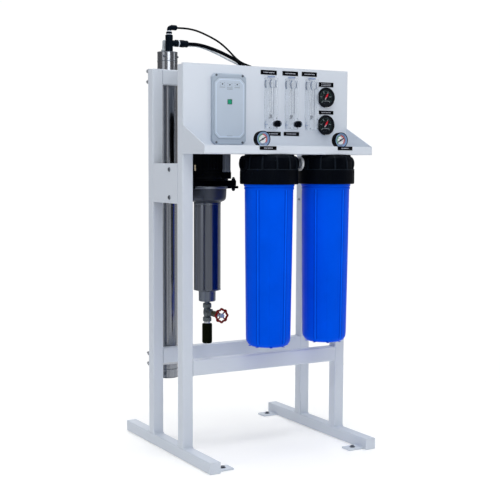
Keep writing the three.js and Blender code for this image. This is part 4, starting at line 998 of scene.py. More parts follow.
def filter_head(index, x):
    """The ribbed head with its two side ports, finger grips and mounting bolts. Its ribs and the bead at the
    collar's top are a lighter black, a painted highlight.
    """
    y = FILTER_Y
    head, ribs = Part(), Part()
    head.turned([(0, 893), (80.6, 893), (80.6, 857), (88.5, 857), (91, 858.5), (91, 902), (89.6, 903.4),
                 (86.2, 903.8), (86.2, 929), (84.6, 938), (79, 944.5), (72, 948.4), (0, 948.4)],
                "z", (x, y, 0), 128, 1.4)
    # The ribs take a lighter black than the head casting: a painted highlight.
    for k in range(12):
        angle = math.pi / 12 + k * math.pi / 6
        rib = Matrix.Translation((x, y, 0)) @ Matrix.Rotation(angle, 4, "Z")
        bm = bmesh.new()
        section = [(83.5, 903), (90.0, 903), (89.6, 916), (88.2, 930), (84.5, 940), (79, 945.5), (76, 945.5)]
        sides = [[bm.verts.new((r, s * 2.6, h)) for r, h in section] for s in (-1, 1)]
        for j in range(len(section)):
            m = (j + 1) % len(section)
            bm.faces.new((sides[0][j], sides[0][m], sides[1][m], sides[1][j]))
        bm.faces.new(sides[0])
        bm.faces.new(sides[1])
        bmesh.ops.bevel(bm, geom=list(bm.edges), offset=0.9, segments=2, affect="EDGES")
        ribs.take_bm(bm, rib)
    for along in ("-x", "x"):
        profile = [(0, 60), (24, 60), (24, 92.5), (22.8, 96), (18.4, 96), (17, 94.6), (17, 66.5), (0, 66.5)]
        head.turned(profile, along, (x, y, PORT_Z), 64, 0.8)
        head.turned([(25.6, 68), (25.6, 80), (20, 80), (20, 68)], along, (x, y, PORT_Z), 64, 0.8)
    for dx, dy in HEAD_BOLTS:
        head.turned([(0, 930), (12, 930), (10.5, 948.5), (0, 948.5)], "z", (x + dx, y + dy, 0), 32, 0.6)
    head.turned([(0, 940), (9, 940), (9, 948.6), (0, 948.6)], "z", (x, y - 66, 0), 24, 0.8)
    for k in range(36):
        angle = k * math.pi / 18
        bm = bmesh.new()
        grip = Matrix.Translation((90.9, 0, 880)) @ Matrix.Diagonal((0.9, 2.2, 34, 1))
        bmesh.ops.create_cube(bm, size=1.0, matrix=grip)
        bmesh.ops.bevel(bm, geom=list(bm.edges), offset=0.3, segments=1, affect="EDGES")
        head.take_bm(bm, Matrix.Translation((x, y, 0)) @ Matrix.Rotation(angle, 4, "Z"))
    # The bead at the collar's top shares the ribs' lighter black: a painted highlight.
    ribs.ring(91.3, 89.0, 901.2, 904.0, "z", (x, y, 0), 128, 0.9)
    ribs.done(f"head_ribs_painted_highlight_{index}", black_painted_highlight)
    head.done(f"head_casting_{index}", black_plastic, slot="black_plastic", replaces=[f"filter_head_{index}"])
    bolts = Part()
    for dx, dy in HEAD_BOLTS:
        hex_bolt(bolts, "z", (x + dx, y + dy, 951), size=5.5, head=3.6, washer=8.5)
        bolts.turned([(0, 948.3), (9.5, 948.3), (9.5, 949.2), (0, 949.2)], "z", (x + dx, y + dy, 0), 24)
    bolts.done(f"head_bolts_{index}", zinc)


def filter_sump(index, x):
    """The tapered bowl with its ribs, its seal and the pleated cartridge inside. On five ribs a paler bead is
    a painted highlight and two darker beads are painted shade.
    """
    y = FILTER_Y
    sump, shade, light = Part(), Part(), Part()
    profile = [(0, 354), (22, 354), (24, 352), (44, 351.2), (56, 352.2), (63.5, 357.5), (68, 366),
               (69.4, 377), (72.4, 600), (75.4, 838), (75.8, 848), (79, 852), (79, 889), (71, 889),
               (70.5, 850), (64.5, 371), (56, 357.5), (20, 357.2), (20, 371.5), (0, 371.5)]

    def ribbed(angle, radius, height):
        if not 357 < height < 836 or radius < 60:
            return radius
        fade = min(1.0, (height - 357) / 14, (836 - height) / 18)
        wave = abs(math.sin(6 * angle))
        return radius + fade * (0.3 - 0.8 * max(0.0, 1 - wave * 7.5))

    sump.turned(profile, "z", (x, y, 0), 240, 2.2, ripple=ribbed)
    sump.ring(77.6, 74.0, 841, 847.5, "z", (x, y, 0), 128, 1.2)
    # On five ribs: a paler bead down the crest is a painted highlight, and a darker bead on each flank is
    # painted shade.
    for k in range(5):
        angle = math.radians(-148.7 + 72 * k)
        for turn, radius, part in ((-3.6, 1.9, shade), (3.6, 1.9, shade), (0, 2.6, light)):
            c, d = math.cos(angle + math.radians(turn)), math.sin(angle + math.radians(turn))
            bead = [(x + r * c, y + r * d, h) for r, h in ((67.2, 364), (68.8, 372), (69.3, 384), (72.0, 600),
                                                           (74.9, 834), (74.2, 840))]
            part.tube(bead, radius, 12)
    for k in range(8):
        angle = k * math.pi / 4 + math.pi / 8
        px, py = x + 58.5 * math.cos(angle), y + 58.5 * math.sin(angle)
        sump.turned([(0, 352), (5.2, 352), (4.2, 351.2), (0, 351.1)], "z", (px, py, 0), 20)
    sump.done(f"sump_bowl_{index}", blue_plastic, body=f"sump_{index}", slot="blue_plastic",
              replaces=[f"filter_sump_{index}"], sharp=40, weighted=False)
    shade.done(f"sump_painted_shade_beads_{index}", blue_painted_shade, body=f"sump_{index}", weighted=False)
    light.done(f"sump_painted_highlight_beads_{index}", blue_painted_highlight, body=f"sump_{index}", weighted=False)
    seal = Part()
    seal.ring(80.4, 78.8, 886, 889.4, "z", (x, y, 0), 96, 0.7)
    seal.done(f"sump_seal_{index}", dark_trim, body=f"sump_{index}")
    media = Part()

    def pleated(angle, radius, height):
        if radius < 50 or not 380 < height < 868:
            return radius
        return radius - 1.2 * (0.5 + 0.5 * math.cos(60 * angle))

    media.turned([(14, 372), (55.5, 372), (55.5, 378), (54.6, 381), (54.6, 867), (55.5, 870), (55.5, 876),
                  (14, 876), (14, 372)], "z", (x, y, 0), 240, ripple=pleated)
    media.done(f"cartridge_media_{index}", filter_media, body=f"cartridge_{index}", slot="filter_media",
               replaces=[f"filter_cartridge_{index}"], weighted=False)


for filter_index, filter_x in ((1, -39.0), (2, 173.0)):
    filter_head(filter_index, filter_x)
    filter_sump(filter_index, filter_x)

union = Part()
union.ring(16.5, 13, 29, 105, "x", (0, FILTER_Y, PORT_Z), 48, 0.6)
union.done("union_pipe", dark_zinc, slot="stainless", replaces=["filter_nipple"])
union_ring = Part()
union_ring.ring(22.6, 15, 69.6, 76.6, "x", (0, FILTER_Y, PORT_Z), 64, 1.6)
union_ring.done("union_ring", bright_zinc)

# ---------------------------------------------------------------- pump

PUMP = (-152.0, 0.0, 0.0)
PX = PUMP[0]


def pump():
    """Bracket, motor, bell, sleeve with its rotor, and the outlet collar, from the top down."""
    bracket = Part()
    notch_radius, front = 62.5, 30
    dip = math.asin(front / notch_radius)
    sweep = (math.pi + dip - k / 48 * (math.pi + 2 * dip) for k in range(49))
    notch = [(notch_radius * math.cos(a), notch_radius * math.sin(a)) for a in sweep]
    shelf = [(-145.7, 75), (-145.7, -front), *notch, (98, -front), (98, 75)]
    bracket.slab([softened(shelf, 0.8, 2, closed=True)], 8, "z", (PX, 0, 840), edge=0.8)
    bracket.box(PX - 145.7, PX - 137.7, -48, 75, 804, 912, edge=0.8)
    for y in (-24, 75):
        web = [(-139.7, 841), (-139.7, 808), (-99.7, 841)]
        bracket.slab([softened(web, 1.5, 3, closed=True)], 6, "-y", (PX, y, 0), edge=0.6)
    bracket.done("bracket_plate", black_paint, slot="black_metal", replaces=["pump_bracket"])

    motor = Part()
    outline = softened([(-92, -30), (92, -30), (92, 62), (-92, 62)], 7, 5, closed=True)
    motor.slab([outline], 17.4, "z", (PX, 0, 848.3), edge=1.5, steps=3)

    def finned(angle, radius, height):
        if 899 < height < 1038 and radius > 60:
            fade = min(1.0, (height - 899) / 5, (1038 - height) / 5)
            return radius - 1.6 + fade * (1.6 if math.cos(48 * angle) > 0.1 else 0.0)
        return radius

    heights = [(67, 865.7), (67, 871.7), (71, 877.7), (71, 895.7), (69.5, 897.7), (69.5, 900), (71, 905),
               (71, 1032), (69.5, 1037), (69.5, 1040), (72, 1040.5), (72, 1074), (70, 1079), (62, 1088),
               (24, 1088), (22, 1086), (0, 1086)]
    motor.turned([(0, 864), *heights], "z", PUMP, 192, 0.8, ripple=finned)
    for k in range(3):
        motor.ring(71.7, 69, 880 + k * 5, 882 + k * 5, "z", PUMP, 96, 0.5)
    motor.done("motor_shell", motor_paint, slot="motor_black", replaces=["pump_motor"])

    terminal = Part()
    terminal.box(-133, -113.5, -86, -56, 895, 972, edge=2.4, steps=3)
    terminal.box(-134.5, -112, -84, -56, 893, 899, edge=1.2)
    terminal.done("terminal_box", terminal_grey)
    dark = Part()
    dark.box(-134, -111, -85, -50, 872, 893.5, edge=1.6)
    for dx in (-129, -117.5):
        dark.turned([(0, 85.5), (1.8, 85.5), (1.8, 87.0), (0, 87.0)], "-y", (dx, 0, 966), 16)
    dark.done("terminal_gland_block", black_paint)
    plate = Part()
    for k in range(2):
        a = math.radians(208.6 + k * 1.9)
        place = Vector((PX + 71.4 * math.cos(a), 71.4 * math.sin(a), 905))
        turn = Matrix.Rotation(a, 4, "Z")
        plate.box(place.x - 0.4, place.x + 0.4, place.y - 1.3, place.y + 1.3, 897, 915, edge=0.1, turn=turn)
    plate.done("rating_plate_blank", label_cream, weighted=False)

    bolts = Part()
    for dx in (-85, 85):
        for y in (-20, 52):
            hex_bolt(bolts, "z", (PX + dx, y, 865.7), size=6.6, head=5.5, washer=8.0, stud=4)
            bolts.turned([(0, 0), (6.6, 0), (6.6, 5.5), (0, 5.5)], "-z", (PX + dx, y, 840), 6)
            bolts.rod(3.9, 0, 8.5, "-z", (PX + dx, y, 840), 20, 0.8)
    bolts.done("bracket_bolts", black_steel)

    bell = Part()
    bell.turned([(34, 795), (43.5, 795), (46.5, 798), (54, 801), (58.4, 805), (60.4, 811), (61.2, 820),
                 (61.7, 838), (61.7, 840), (34, 840), (34, 795)], "z", PUMP, 128, 1.2)
    bell.done("bell_casting", cast_steel, slot="dark_steel", replaces=["pump_bell"])
    collar = Part()
    collar.turned([(34, 839.4), (64.8, 839.4), (66, 840.6), (66, 846.5), (64.8, 847.9), (34, 847.9),
                   (34, 839.4)], "z", PUMP, 128, 0.6)
    for k in range(6):
        a = math.radians(30 + 60 * k)
        hex_bolt(collar, "-z", (PX + 54 * math.cos(a), 54 * math.sin(a), 812), size=4, head=3, washer=5.5)
    collar.done("bell_flange_ring", lug_steel)

    sleeve = Part()
    sleeve.turned([(12, 511.6), (40.5, 511.6), (43.2, 513.5), (43.5, 516), (43.5, 780), (43.3, 794.6),
                   (40.5, 794.6), (40.5, 517.5), (12, 517.5), (12, 511.6)], "z", PUMP, 128, 0.6)
    sleeve.done("sleeve_tube", sleeve_steel, slot="stainless", replaces=["pump_sleeve"])
    bands = Part()
    bands.ring(43.85, 42.0, 513.2, 517.2, "z", PUMP, 128, 0.5)
    bands.ring(43.85, 42.0, 788.8, 792.6, "z", PUMP, 128, 0.5)
    bands.done("sleeve_bands", dark_zinc)
    shaft = Part()
    shaft.rod(8, 521.5, 886, "z", PUMP, 32, 0.6)
    for k in range(4):
        z = 533.5 + k * 60.875
        shaft.turned([(8, z), (36, z), (36, z + 8), (8, z + 8), (8, z)], "z", PUMP, 64, 0.6)
    shaft.done("pump_rotor", dark_zinc, body="shaft", slot="stainless", replaces=["pump_shaft"])
    outlet = Part()
    outlet.turned([(6, 459.2), (8.6, 459.2), (8.6, 475.8), (25.5, 475.8), (27.3, 478), (27.7, 511.2),
                   (6, 511.2), (6, 459.2)], "z", PUMP, 96, 0.8)
    outlet.done("outlet_collar", collar_steel, slot="stainless", replaces=["pump_discharge"])
    seam = Part()
    seam.ring(28.1, 26.5, 507.5, 510.4, "z", PUMP, 96, 0.7)
    for k in range(9):
        z = 460.4 + k * 1.6
        seam.ring(9.0, 8.2, z, z + 0.8, "z", PUMP, 48, 0.3)
    seam.done("outlet_threads", dark_zinc, weighted=False)


collar_steel = look("collar_steel", (0.145, 0.165, 0.20), 0.34, 0.85, vary=0.14, patch=40, grain=420,
                    stretch=(6.0, 6.0, 0.3))
pump()

# ---------------------------------------------------------------- throttle valve


WHEEL_Z = 440.0


def valve():
    """The globe valve with its gland and spindle, and the stub below it."""
    z = WHEEL_Z
    body = Part()
    for top, bottom in ((469, 454), (425, 410)):
        low, high = min(top, bottom), max(top, bottom)
        outer = [(9.6, low), (13.6, low), (14.6, low + 1.6), (14.6, high - 3.2), (12.4, high - 0.4),
                 (9.6, high)]
        body.turned([*outer, outer[0]], "z", (PX, 0, 0), 8)
        body.ring(13.2, 9.7, high - 1.4 if top == 469 else low - 0.2, high + 0.2 if top == 469 else low + 1.4,
                  "z", (PX, 0, 0), 48, 0.5)
    body.turned([(0, 411), (9.4, 411), (9.4, 424), (11.4, 430), (12.6, 436), (13.0, 440), (12.6, 444),
                 (11.4, 450), (9.4, 456), (9.4, 468), (0, 468)], "z", (PX, 0, 0), 64, 1.0)
    body.turned([(0, 0), (12.5, 4), (12.5, 13), (11, 15), (0, 15)], "-y", (PX, 0, z), 48, 0.8)
    body.turned([(0, 14), (13.4, 14), (13.4, 24), (12.2, 26), (0, 26)], "-y", (PX, 0, z), 6)
    body.turned([(4.5, 24), (10.2, 24), (9.2, 32), (8.6, 48), (4.5, 48), (4.5, 24)], "-y", (PX, 0, z), 48,
                0.8)
    body.done("valve_casting", valve_metal, slot="grey_bronze", replaces=["valve_body"])
    gland = Part()
    gland.turned([(4.5, 47), (10.6, 47), (10.6, 57), (9.4, 59.4), (8.6, 66.4), (7.6, 68), (4.5, 68),
                  (4.5, 47)],
                 "-y", (PX, 0, z), 6)
    gland.turned([(4.5, 44), (9.6, 44), (9.6, 47.5), (4.5, 47.5), (4.5, 44)], "-y", (PX, 0, z), 32, 0.5)
    gland.done("valve_gland_nut", packing_metal)
    stem = Part()
    stem.turned([(0, 13), (4, 13), (4, 88), (6.5, 88), (6.5, 91), (3.2, 91), (3.2, 103.2), (0, 103.2)],
                "-y", (PX, 0, z), 40, 0.4)
    stem.turned([(0, 103), (6.4, 103), (6.4, 104.2), (5.6, 104.4), (5.6, 107), (0, 107)], "-y", (PX, 0, z), 6)
    stem.done("valve_spindle", hub_blue, body="stem", slot="chrome", replaces=["valve_stem"])
    tape = Part()

    def wrapped(angle, radius, height):
        return radius + 0.35 * math.sin(9 * angle + height) * (radius > 8)

    tape.turned([(7.2, 402.6), (9.4, 402.8), (10.0, 404.5), (9.8, 408), (10.1, 410.4), (7.2, 410.6),
                 (7.2, 402.6)],
                "z", (PX, 0, 0), 64, 0.4, ripple=wrapped)
    tape.done("valve_seal_tape", seal_tape, weighted=False)
    stub = Part()
    stub.turned([(9, 338), (12.2, 338), (15.6, 340.4), (16.2, 342.4), (16.2, 400.4), (14.6, 403), (9.6, 403),
                 (9.6, 418), (7, 418), (7, 403), (9, 399), (9, 338)], "z", (PX, 0, 0), 64, 0.8)
    for k in range(20):
        a = math.pi * k / 10
        stub.box(PX + 16.0 * math.cos(a) - 0.4, PX + 16.0 * math.cos(a) + 0.4, 16.0 * math.sin(a) - 0.7,
                 16.0 * math.sin(a) + 0.7, 346, 398, edge=0.25, steps=1, turn=Matrix.Rotation(a, 4, "Z"))
    stub.done("stub_sleeve", olive_stub, slot="black_plastic", replaces=["drain_stub"])


def wheel():
    """A cast hand wheel: a lobed rim of round section, spokes and a hub."""
    part = Part()
    lobes, steps, centre_y = 8, 192, -97.6
    points = []
    for k in range(steps):
        a = 2 * math.pi * k / steps
        r = 18.5 + 3.0 * (0.5 + 0.5 * math.cos(lobes * a)) ** 1.6
        points.append((PX + r * math.cos(a), centre_y, WHEEL_Z + r * math.sin(a)))
    part.tube(points, 3.4, 16, closed=True)
    for k in range(4):
        a = math.pi / 4 + k * math.pi / 2
        spoke = [(PX + r * math.cos(a), centre_y + d, WHEEL_Z + r * math.sin(a))
                 for r, d in ((5, 1.6), (10, 1.2), (15, 0.4), (19.5, 0.0))]
        part.tube(spoke, 2.2, 12)
    hub = Part()
    hub.turned([(3.6, 92), (6.4, 92), (7.4, 94), (7.4, 101), (6.4, 102.6), (3.6, 102.6), (3.6, 92)], "-y",
               (PX, 0, WHEEL_Z), 40, 0.6)
    hub.done("hand_wheel_hub", hub_blue, body="handwheel")
    part.done("hand_wheel_casting", red_enamel, body="handwheel", slot="red_enamel",
              replaces=["valve_handwheel"], sharp=60, weighted=False)


valve()
wheel()

# ---------------------------------------------------------------- membrane housing

MX, MY = -216.0, 160.0


def membrane():
    """The steel housing with its caps, set screws, element and two clamps."""
    tube = Part()
    profile = softened([(31.4, 206), (33.2, 206), (33.2, 1283), (31.4, 1283)], 0.5, 3, closed=True)
    tube.turned([*profile, profile[0]], "z", (MX, MY, 0), 128)
    tube.done("housing_tube", stainless, slot="stainless", replaces=["membrane_housing"])
    rings = Part()
    for z0, z1 in ((1252, 1254.5), (234.5, 237)):
        rings.ring(33.6, 32.6, z0, z1, "z", (MX, MY, 0), 128, 0.3)
    rings.ring(33.5, 31.2, 1280.6, 1283.2, "z", (MX, MY, 0), 128, 0.6)
    rings.ring(33.5, 31.2, 205.8, 208.4, "z", (MX, MY, 0), 128, 0.6)
    rings.done("housing_end_rings", dark_zinc)
    caps = Part()
    for z0, z1 in ((1255, 1281.5), (207.5, 234)):
        caps.rod(30.9, z0, z1, "z", (MX, MY, 0), 96, 0.8)
    caps.done("housing_caps", zinc, slot="stainless", replaces=["membrane_top_cap", "membrane_bottom_cap"])
    element = Part()
    element.ring(29.9, 8, 246, 1243, "z", (MX, MY, 0), 64, 1.0)
    element.done("element_wrap", filter_media, slot="filter_media", replaces=["membrane_element"])
    screws = Part()
    for z in (1268, 221):
        for angle in (-133.13, -13.13, 106.87):
            a = math.radians(angle)
            turn = Matrix.Rotation(a, 4, "Z")
            at = Matrix.Translation((MX, MY, z)) @ turn
            screw = Part()
            screw.turned([(0, 31), (3.4, 31), (3.4, 36.2), (2.6, 37), (1.5, 37), (1.5, 35.4), (0, 35.4)], "x",
                         (0, 0, 0), 24, 0.3)
            screw.turned([(3.3, 32.6), (4.9, 32.6), (4.9, 33.9), (3.3, 33.9), (3.3, 32.6)], "x",
                         (0, 0, 0), 24)
            screw.bm.transform(at)
            screws.merge(screw)
    screws.done("cap_set_screws", dark_zinc)
    for name, z in (("upper", 1199.0), ("lower", 278.0)):
        saddle = Part()
        half, front, back = 24, 124.3, 129.3
        start = math.atan2(back - MY, math.sqrt(33.5 ** 2 - (back - MY) ** 2))
        inner = [(33.5 * math.cos(a), 33.5 * math.sin(a))
                 for a in (start - (math.pi + 2 * start) * k / 24 for k in range(25))]
        saddle.slab([[(74, front - MY), (74, back - MY), *inner, (-84, back - MY), (-84, front - MY)]],
                    2 * half, "z", (MX, MY, z - half), edge=0.8)
        inner = [(33.5 * math.cos(a), 33.5 * math.sin(a))
                 for a in (start + (math.pi - 2 * start) * k / 48 for k in range(49))]
        outer = [(x * 37.0 / 33.5, y * 37.0 / 33.5) for x, y in inner]
        saddle.slab([outer + inner[::-1]], 2 * half, "z", (MX, MY, z - half), edge=0.7)
        saddle.done(f"{name}_clamp_saddle", clamp_zinc, slot="stainless", replaces=[f"{name}_housing_clamp"])
        bolts = Part()
        for x in (-78, 62):
            for dz in (-17, 17):
                at = (MX + x, back, z + dz)
                bolts.rod(4.0, 0, 21, "y", at, 20, 0.5)
                bolts.turned([(0, 6), (7.4, 6), (7.4, 7.4), (0, 7.4)], "y", at, 32, 0.2)
                bolts.turned([(0, 7.4), (6.5, 7.4), (6.5, 15), (5.7, 16), (0, 16)], "y", at, 6)
        bolts.done(f"{name}_clamp_bolts", clamp_zinc)


clamp_zinc = look("clamp_zinc", (0.56, 0.575, 0.60), 0.42, 0.7, vary=0.06, patch=60, grain=900)
membrane()

# ---------------------------------------------------------------- fittings and tubes


def fittings():
    """The branch tee, the elbow on top of it and the pale fitting behind them."""
    tx, ty = MX, MY - 13
    branch_z, elbow_z, rear_z = 1312, 1362, 1307.3
    tee = Part()
    tee.turned([(0, 1263), (8.7, 1263), (8.7, 1285.3), (12.5, 1285.3), (12.5, 1300), (12.1, 1301),
                (12.1, 1324),
                (12.5, 1325), (12.5, 1336.6), (11, 1338), (0, 1338)], "z", (tx, ty, 0), 64, 0.7)
    arm = [(0, 2), (9.5, 2), (9.5, 20), (11.6, 21.5), (11.6, 31), (0, 31)]
    tee.turned(arm, "x", (tx, ty, branch_z), 64, 0.7)
    nut = [(0, 35), (9.6, 35), (10.4, 36), (11.8, 41.5), (11.8, 52), (10.9, 54), (10.9, 65.8),
           (9.4, 67.7), (6.3, 67.7),
           (6.3, 50), (0, 50)]

    def knurled(angle, radius, height):
        return radius + (0.35 * math.cos(16 * angle) if radius > 10 and 41 < height < 66 else 0)

    tee.turned(nut, "x", (tx, ty, branch_z), 96, 0.5, ripple=knurled)
    tee.done("tee_body", fitting_plastic, slot="black_plastic", replaces=["branch_tee"])
    pale = Part()
    pale.turned([(0, 30.6), (10.6, 30.6), (11.3, 31.4), (11.3, 34.4), (10.4, 35.2), (0, 35.2)], "x",
                (tx, ty, branch_z), 64, 0.4)
    pale.turned([(0, 1337.6), (8.2, 1337.6), (8.6, 1338.4), (8.6, 1341.1), (0, 1341.1)], "z", (tx, ty, 0),
                64, 0.3)
    pale.turned([(0, 1348), (7.2, 1348), (7.2, 1351.5), (0, 1351.5)], "z", (tx, ty, 0), 48, 0.3)
    pale.done("fitting_rings", ring_white)
    elbow = Part()
    elbow.turned([(0, 1341.3), (9.4, 1341.3), (10, 1342.2), (10, 1346.5), (9.2, 1347.6), (6.6, 1348.2),
                  (6.6, 1352),
                  (0, 1352)], "z", (tx, ty, 0), 64, 0.5)
    bend = [Vector((tx, ty, 1351)), Vector((tx, ty, 1355)), Vector((tx + 0.8, ty, 1358.4)),
            Vector((tx + 3.0, ty, 1360.8)), Vector((tx + 6.0, ty, 1362)), Vector((tx + 11, ty, 1362))]
    elbow.tube(bend, 7.2, 32)
    elbow.turned([(0, 6), (7.2, 6), (8.7, 8), (8.7, 24.6), (7.8, 26), (5.4, 27), (3.6, 27), (3.6, 16),
                  (0, 16)], "x",
                 (tx, ty, elbow_z), 64, 0.5)
    elbow.done("elbow_body", fitting_plastic, slot="black_plastic", replaces=["push_elbow"])
    release = Part()
    release.turned([(3.5, 26.4), (5.6, 26.4), (5.6, 28.2), (3.5, 28.2), (3.5, 26.4)], "x", (tx, ty, elbow_z),
                   40, 0.2)
    release.done("elbow_release_ring", dark_trim)
    rear = Part()
    ry = MY + 21
    rear.turned([(0, 1263.3), (8.7, 1263.3), (8.7, 1283.3), (11, 1283.3), (11, 1292.5), (8, 1295.5),
                 (6.9, 1321),
                 (5, 1324.3), (0, 1324.3)], "z", (tx, ry, 0), 64, 0.8)
    rear.turned([(0, 0), (7.4, 0), (7.4, 24.5), (6.4, 26), (3.7, 26), (3.7, 14), (0, 14)], "x",
                (tx, ry, rear_z), 64, 0.6)
    rear.turned([(10.9, 1284), (11.8, 1284), (11.8, 1291), (10.9, 1291)], "z", (tx, ry, 0), 6)
    rear.done("rear_fitting", pale_plastic, slot="pale_plastic", replaces=["rear_elbow"])


fittings()

THICK_TUBE, THIN_TUBE = 12, 6.35
THICK_ROUTE = [
    (-160, 147, 1312), (-148, 147, 1312), (-134, 147, 1312.4), (-117.7, 146, 1312.2), (-91.3, 143, 1308.5),
    (-63.4, 136, 1300.3), (-41.9, 126, 1291.4), (-24.2, 111, 1280.5), (-10.4, 92, 1268.8),
    (-1.6, 71, 1257.4), (1.5, 48, 1244), (4.5, 24, 1229.5), (6, 0, 1213.5), (4.5, -23, 1197),
    (2.5, -44, 1183), (1.3, -62, 1174.5), (1, -78, 1171.4), (1, -94.5, 1171),
]
THIN_ROUTE = [
    (-199, 147, 1362), (-189, 147, 1362), (-176, 147, 1362.2), (-160.1, 147, 1362.4), (-131.5, 146, 1360),
    (-108.3, 144, 1354.7), (-85.8, 140, 1346.3), (-64.5, 134, 1336.2), (-44.2, 126, 1323.8),
    (-29.6, 116, 1310), (-16.7, 104, 1293.5), (-10.7, 86, 1277.5), (-8.3, 62, 1262.6), (-5.2, 38, 1250.5),
    (9, 14, 1239), (34, -2, 1227), (65, -11, 1214), (98, -17, 1200), (130, -20, 1184), (159, -22, 1167),
    (183, -27, 1151.5), (200, -38, 1141), (208.5, -52, 1136.2), (211.7, -66, 1135.1), (212, -80.8, 1135),
]
PALE_ROUTE = [
    (-202, 181, 1307.3), (-190, 181, 1307.3), (-172, 181, 1308.6), (-150, 180.5, 1310.2),
    (-124, 179, 1310.6), (-98.5, 176, 1310.1), (-72.5, 168, 1303.3), (-48, 157, 1292.4),
    (-27.4, 142, 1280.3), (-9.7, 122, 1266.7), (2.9, 100, 1255.3), (12, 74, 1244), (30, 46, 1232),
    (48, 18, 1218), (63, -8, 1204), (71, -32, 1190), (75.5, -54, 1178), (77.7, -76, 1172),
    (77.7, -94.5, 1171),
]


def hose(name, route, diameter, material, node):
    curve = bpy.data.curves.new(name, "CURVE")
    curve.dimensions, curve.resolution_u = "3D", 10
    curve.bevel_depth, curve.bevel_resolution = diameter / 2000, 6
    curve.use_fill_caps = True
    spline = curve.splines.new("BEZIER")
    spline.bezier_points.add(len(route) - 1)
    for point, place in zip(spline.bezier_points, route):
        point.co = Vector(place) / 1000
        point.handle_left_type = point.handle_right_type = "AUTO"
    piece = bpy.data.objects.new(name, curve)
    scene.collection.objects.link(piece)
    curve.materials.append(material)
    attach(piece, "unit")
    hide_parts(node)


hose("feed_hose", THICK_ROUTE, THICK_TUBE, tube_black, "thick_tube")
hose("gauge_hose", THIN_ROUTE, THIN_TUBE, tube_black, "thin_tube")
hose("product_hose", PALE_ROUTE, THIN_TUBE, tube_pale, "pale_tube")

tie = Part()
tie.ring(7.0, 5.9, -1.3, 1.3, "z", (0, 0, 0), 32, 0.3)
tie.box(5.6, 9.4, -1.8, 1.8, -2, 2, edge=0.4)
direction = Vector((3, -24, -14)).normalized()
along_hose = direction.to_track_quat("Z", "Y").to_matrix().to_4x4()
tie.bm.transform(Matrix.Translation((0.0, 60, 1250.8)) @ along_hose)
tie.done("hose_tie", tube_black)

# ---------------------------------------------------------------- floor and light


def floor():
    """A round pale floor that thins out to nothing far from the object."""
    bm = bmesh.new()
    rings, steps = [0.0, 0.5, 1.0, 1.6, 2.2, 3.0], 96
    previous = [bm.verts.new((0, 0, 0))]
    for radius in rings[1:]:
        ring = [bm.verts.new((x, y, 0)) for x, y in circle(radius, steps=steps)]
        for k in range(steps):
            m = (k + 1) % steps
            if len(previous) == 1:
                bm.faces.new((previous[0], ring[k], ring[m]))
            else:
                bm.faces.new((previous[k], ring[k], ring[m], previous[m]))
        previous = ring
    mesh = bpy.data.meshes.new("floor")
    bm.to_mesh(mesh)
    bm.free()
    n = Nodes("floor_white")
    distance = n.add("ShaderNodeVectorMath", operation="LENGTH")
    n.link(n.where, distance.inputs[0])
    fade = n.mapped(distance.outputs["Value"], 1.0, 0.0, 0.9, 1.6)
    n.link(fade, n.shader.inputs["Alpha"])
    pale = n.between(n.noise(6.0), (0.955, 0.945, 0.925), (0.965, 0.955, 0.935))
    n.link(pale, n.shader.inputs["Base Color"])
    n.shader.inputs["Roughness"].default_value = 0.65
    n.shader.inputs["Specular IOR Level"].default_value = 0.25
    n.shader.inputs["Emission Color"].default_value = (1, 1, 1, 1)
    n.shader.inputs["Emission Strength"].default_value = 0.13
    mesh.materials.append(n.material)
    piece = bpy.data.objects.new("floor", mesh)
    piece.location = (0, 0, -0.0006)
    scene.collection.objects.link(piece)


def softbox(name, place, target, width, height, power, colour=(1, 1, 1)):
    data = bpy.data.lights.new(name, "AREA")
    data.shape, data.size, data.size_y = "RECTANGLE", width, height
    data.energy, data.color = power, colour
    lamp = bpy.data.objects.new(name, data)
    lamp.visible_camera = False
    lamp.location = place
    lamp.rotation_euler = (Vector(target) - Vector(place)).to_track_quat("-Z", "Y").to_euler()
    scene.collection.objects.link(lamp)


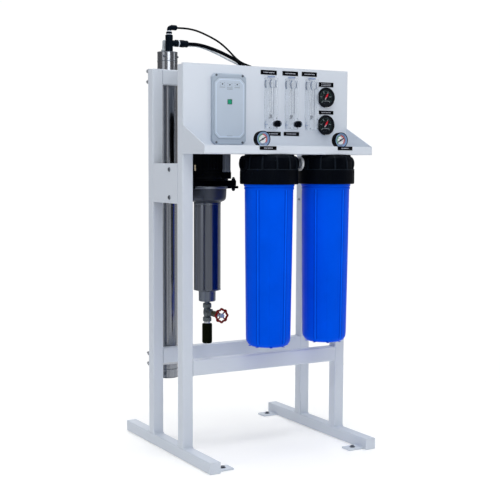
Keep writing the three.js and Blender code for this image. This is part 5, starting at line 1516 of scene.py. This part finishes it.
def world():
    """White to the camera; a dim room with a bright floor to everything else."""
    data = bpy.data.worlds.new("studio")
    scene.world = data
    data.use_nodes = True
    tree = data.node_tree
    tree.nodes.clear()
    where = tree.nodes.new("ShaderNodeTexCoord").outputs["Generated"]
    split = tree.nodes.new("ShaderNodeSeparateXYZ")
    tree.links.new(where, split.inputs[0])
    ramp = tree.nodes.new("ShaderNodeValToRGB")
    lift = tree.nodes.new("ShaderNodeMapRange")
    lift.inputs["From Min"].default_value, lift.inputs["From Max"].default_value = -1, 1
    tree.links.new(split.outputs["Z"], lift.inputs["Value"])
    tree.links.new(lift.outputs["Result"], ramp.inputs["Fac"])
    stops = ramp.color_ramp.elements
    stops[0].position, stops[0].color = 0.0, (0.85, 0.85, 0.85, 1)
    stops[1].position, stops[1].color = 1.0, (0.50, 0.53, 0.57, 1)
    for position, colour in ((0.485, (0.80, 0.80, 0.81)), (0.50, (0.28, 0.27, 0.27)),
                             (0.62, (0.23, 0.23, 0.24)),
                             (0.80, (0.38, 0.40, 0.43))):
        stop = stops.new(position)
        stop.color = (*colour, 1)
    room = tree.nodes.new("ShaderNodeBackground")
    tree.links.new(ramp.outputs["Color"], room.inputs["Color"])
    seen = tree.nodes.new("ShaderNodeBackground")
    seen.inputs["Color"].default_value = (1, 1, 1, 1)
    seen.inputs["Strength"].default_value = 1.02
    ray = tree.nodes.new("ShaderNodeLightPath")
    mix = tree.nodes.new("ShaderNodeMixShader")
    tree.links.new(ray.outputs["Is Camera Ray"], mix.inputs["Fac"])
    tree.links.new(room.outputs[0], mix.inputs[1])
    tree.links.new(seen.outputs[0], mix.inputs[2])
    out = tree.nodes.new("ShaderNodeOutputWorld")
    tree.links.new(mix.outputs[0], out.inputs["Surface"])


scene.view_settings.view_transform = "Standard"
floor()
world()
softbox("top", (0, -0.3, 4.2), (0, 0, 0), 4.2, 4.2, 126, (1.0, 0.995, 0.985))
softbox("key", (-1.5, -4.9, 2.2), (0, 0, 0.9), 2.6, 2.6, 26, (0.97, 0.985, 1.0))
softbox("left", (-4.3, -1.3, 1.9), (0, 0, 0.8), 2.0, 2.6, 20, (0.96, 0.98, 1.0))
softbox("corner", (-0.35, -1.0, 1.35), (0.26, -0.18, 1.0), 0.5, 0.4, 2.2, (0.98, 0.99, 1.0))
softbox("right", (4.2, -2.4, 2.0), (0, 0, 0.8), 1.6, 2.4, 16, (0.97, 0.985, 1.0))
softbox("back", (1.4, 4.6, 2.4), (0, 0, 0.8), 2.4, 2.4, 30, (1, 1, 1))
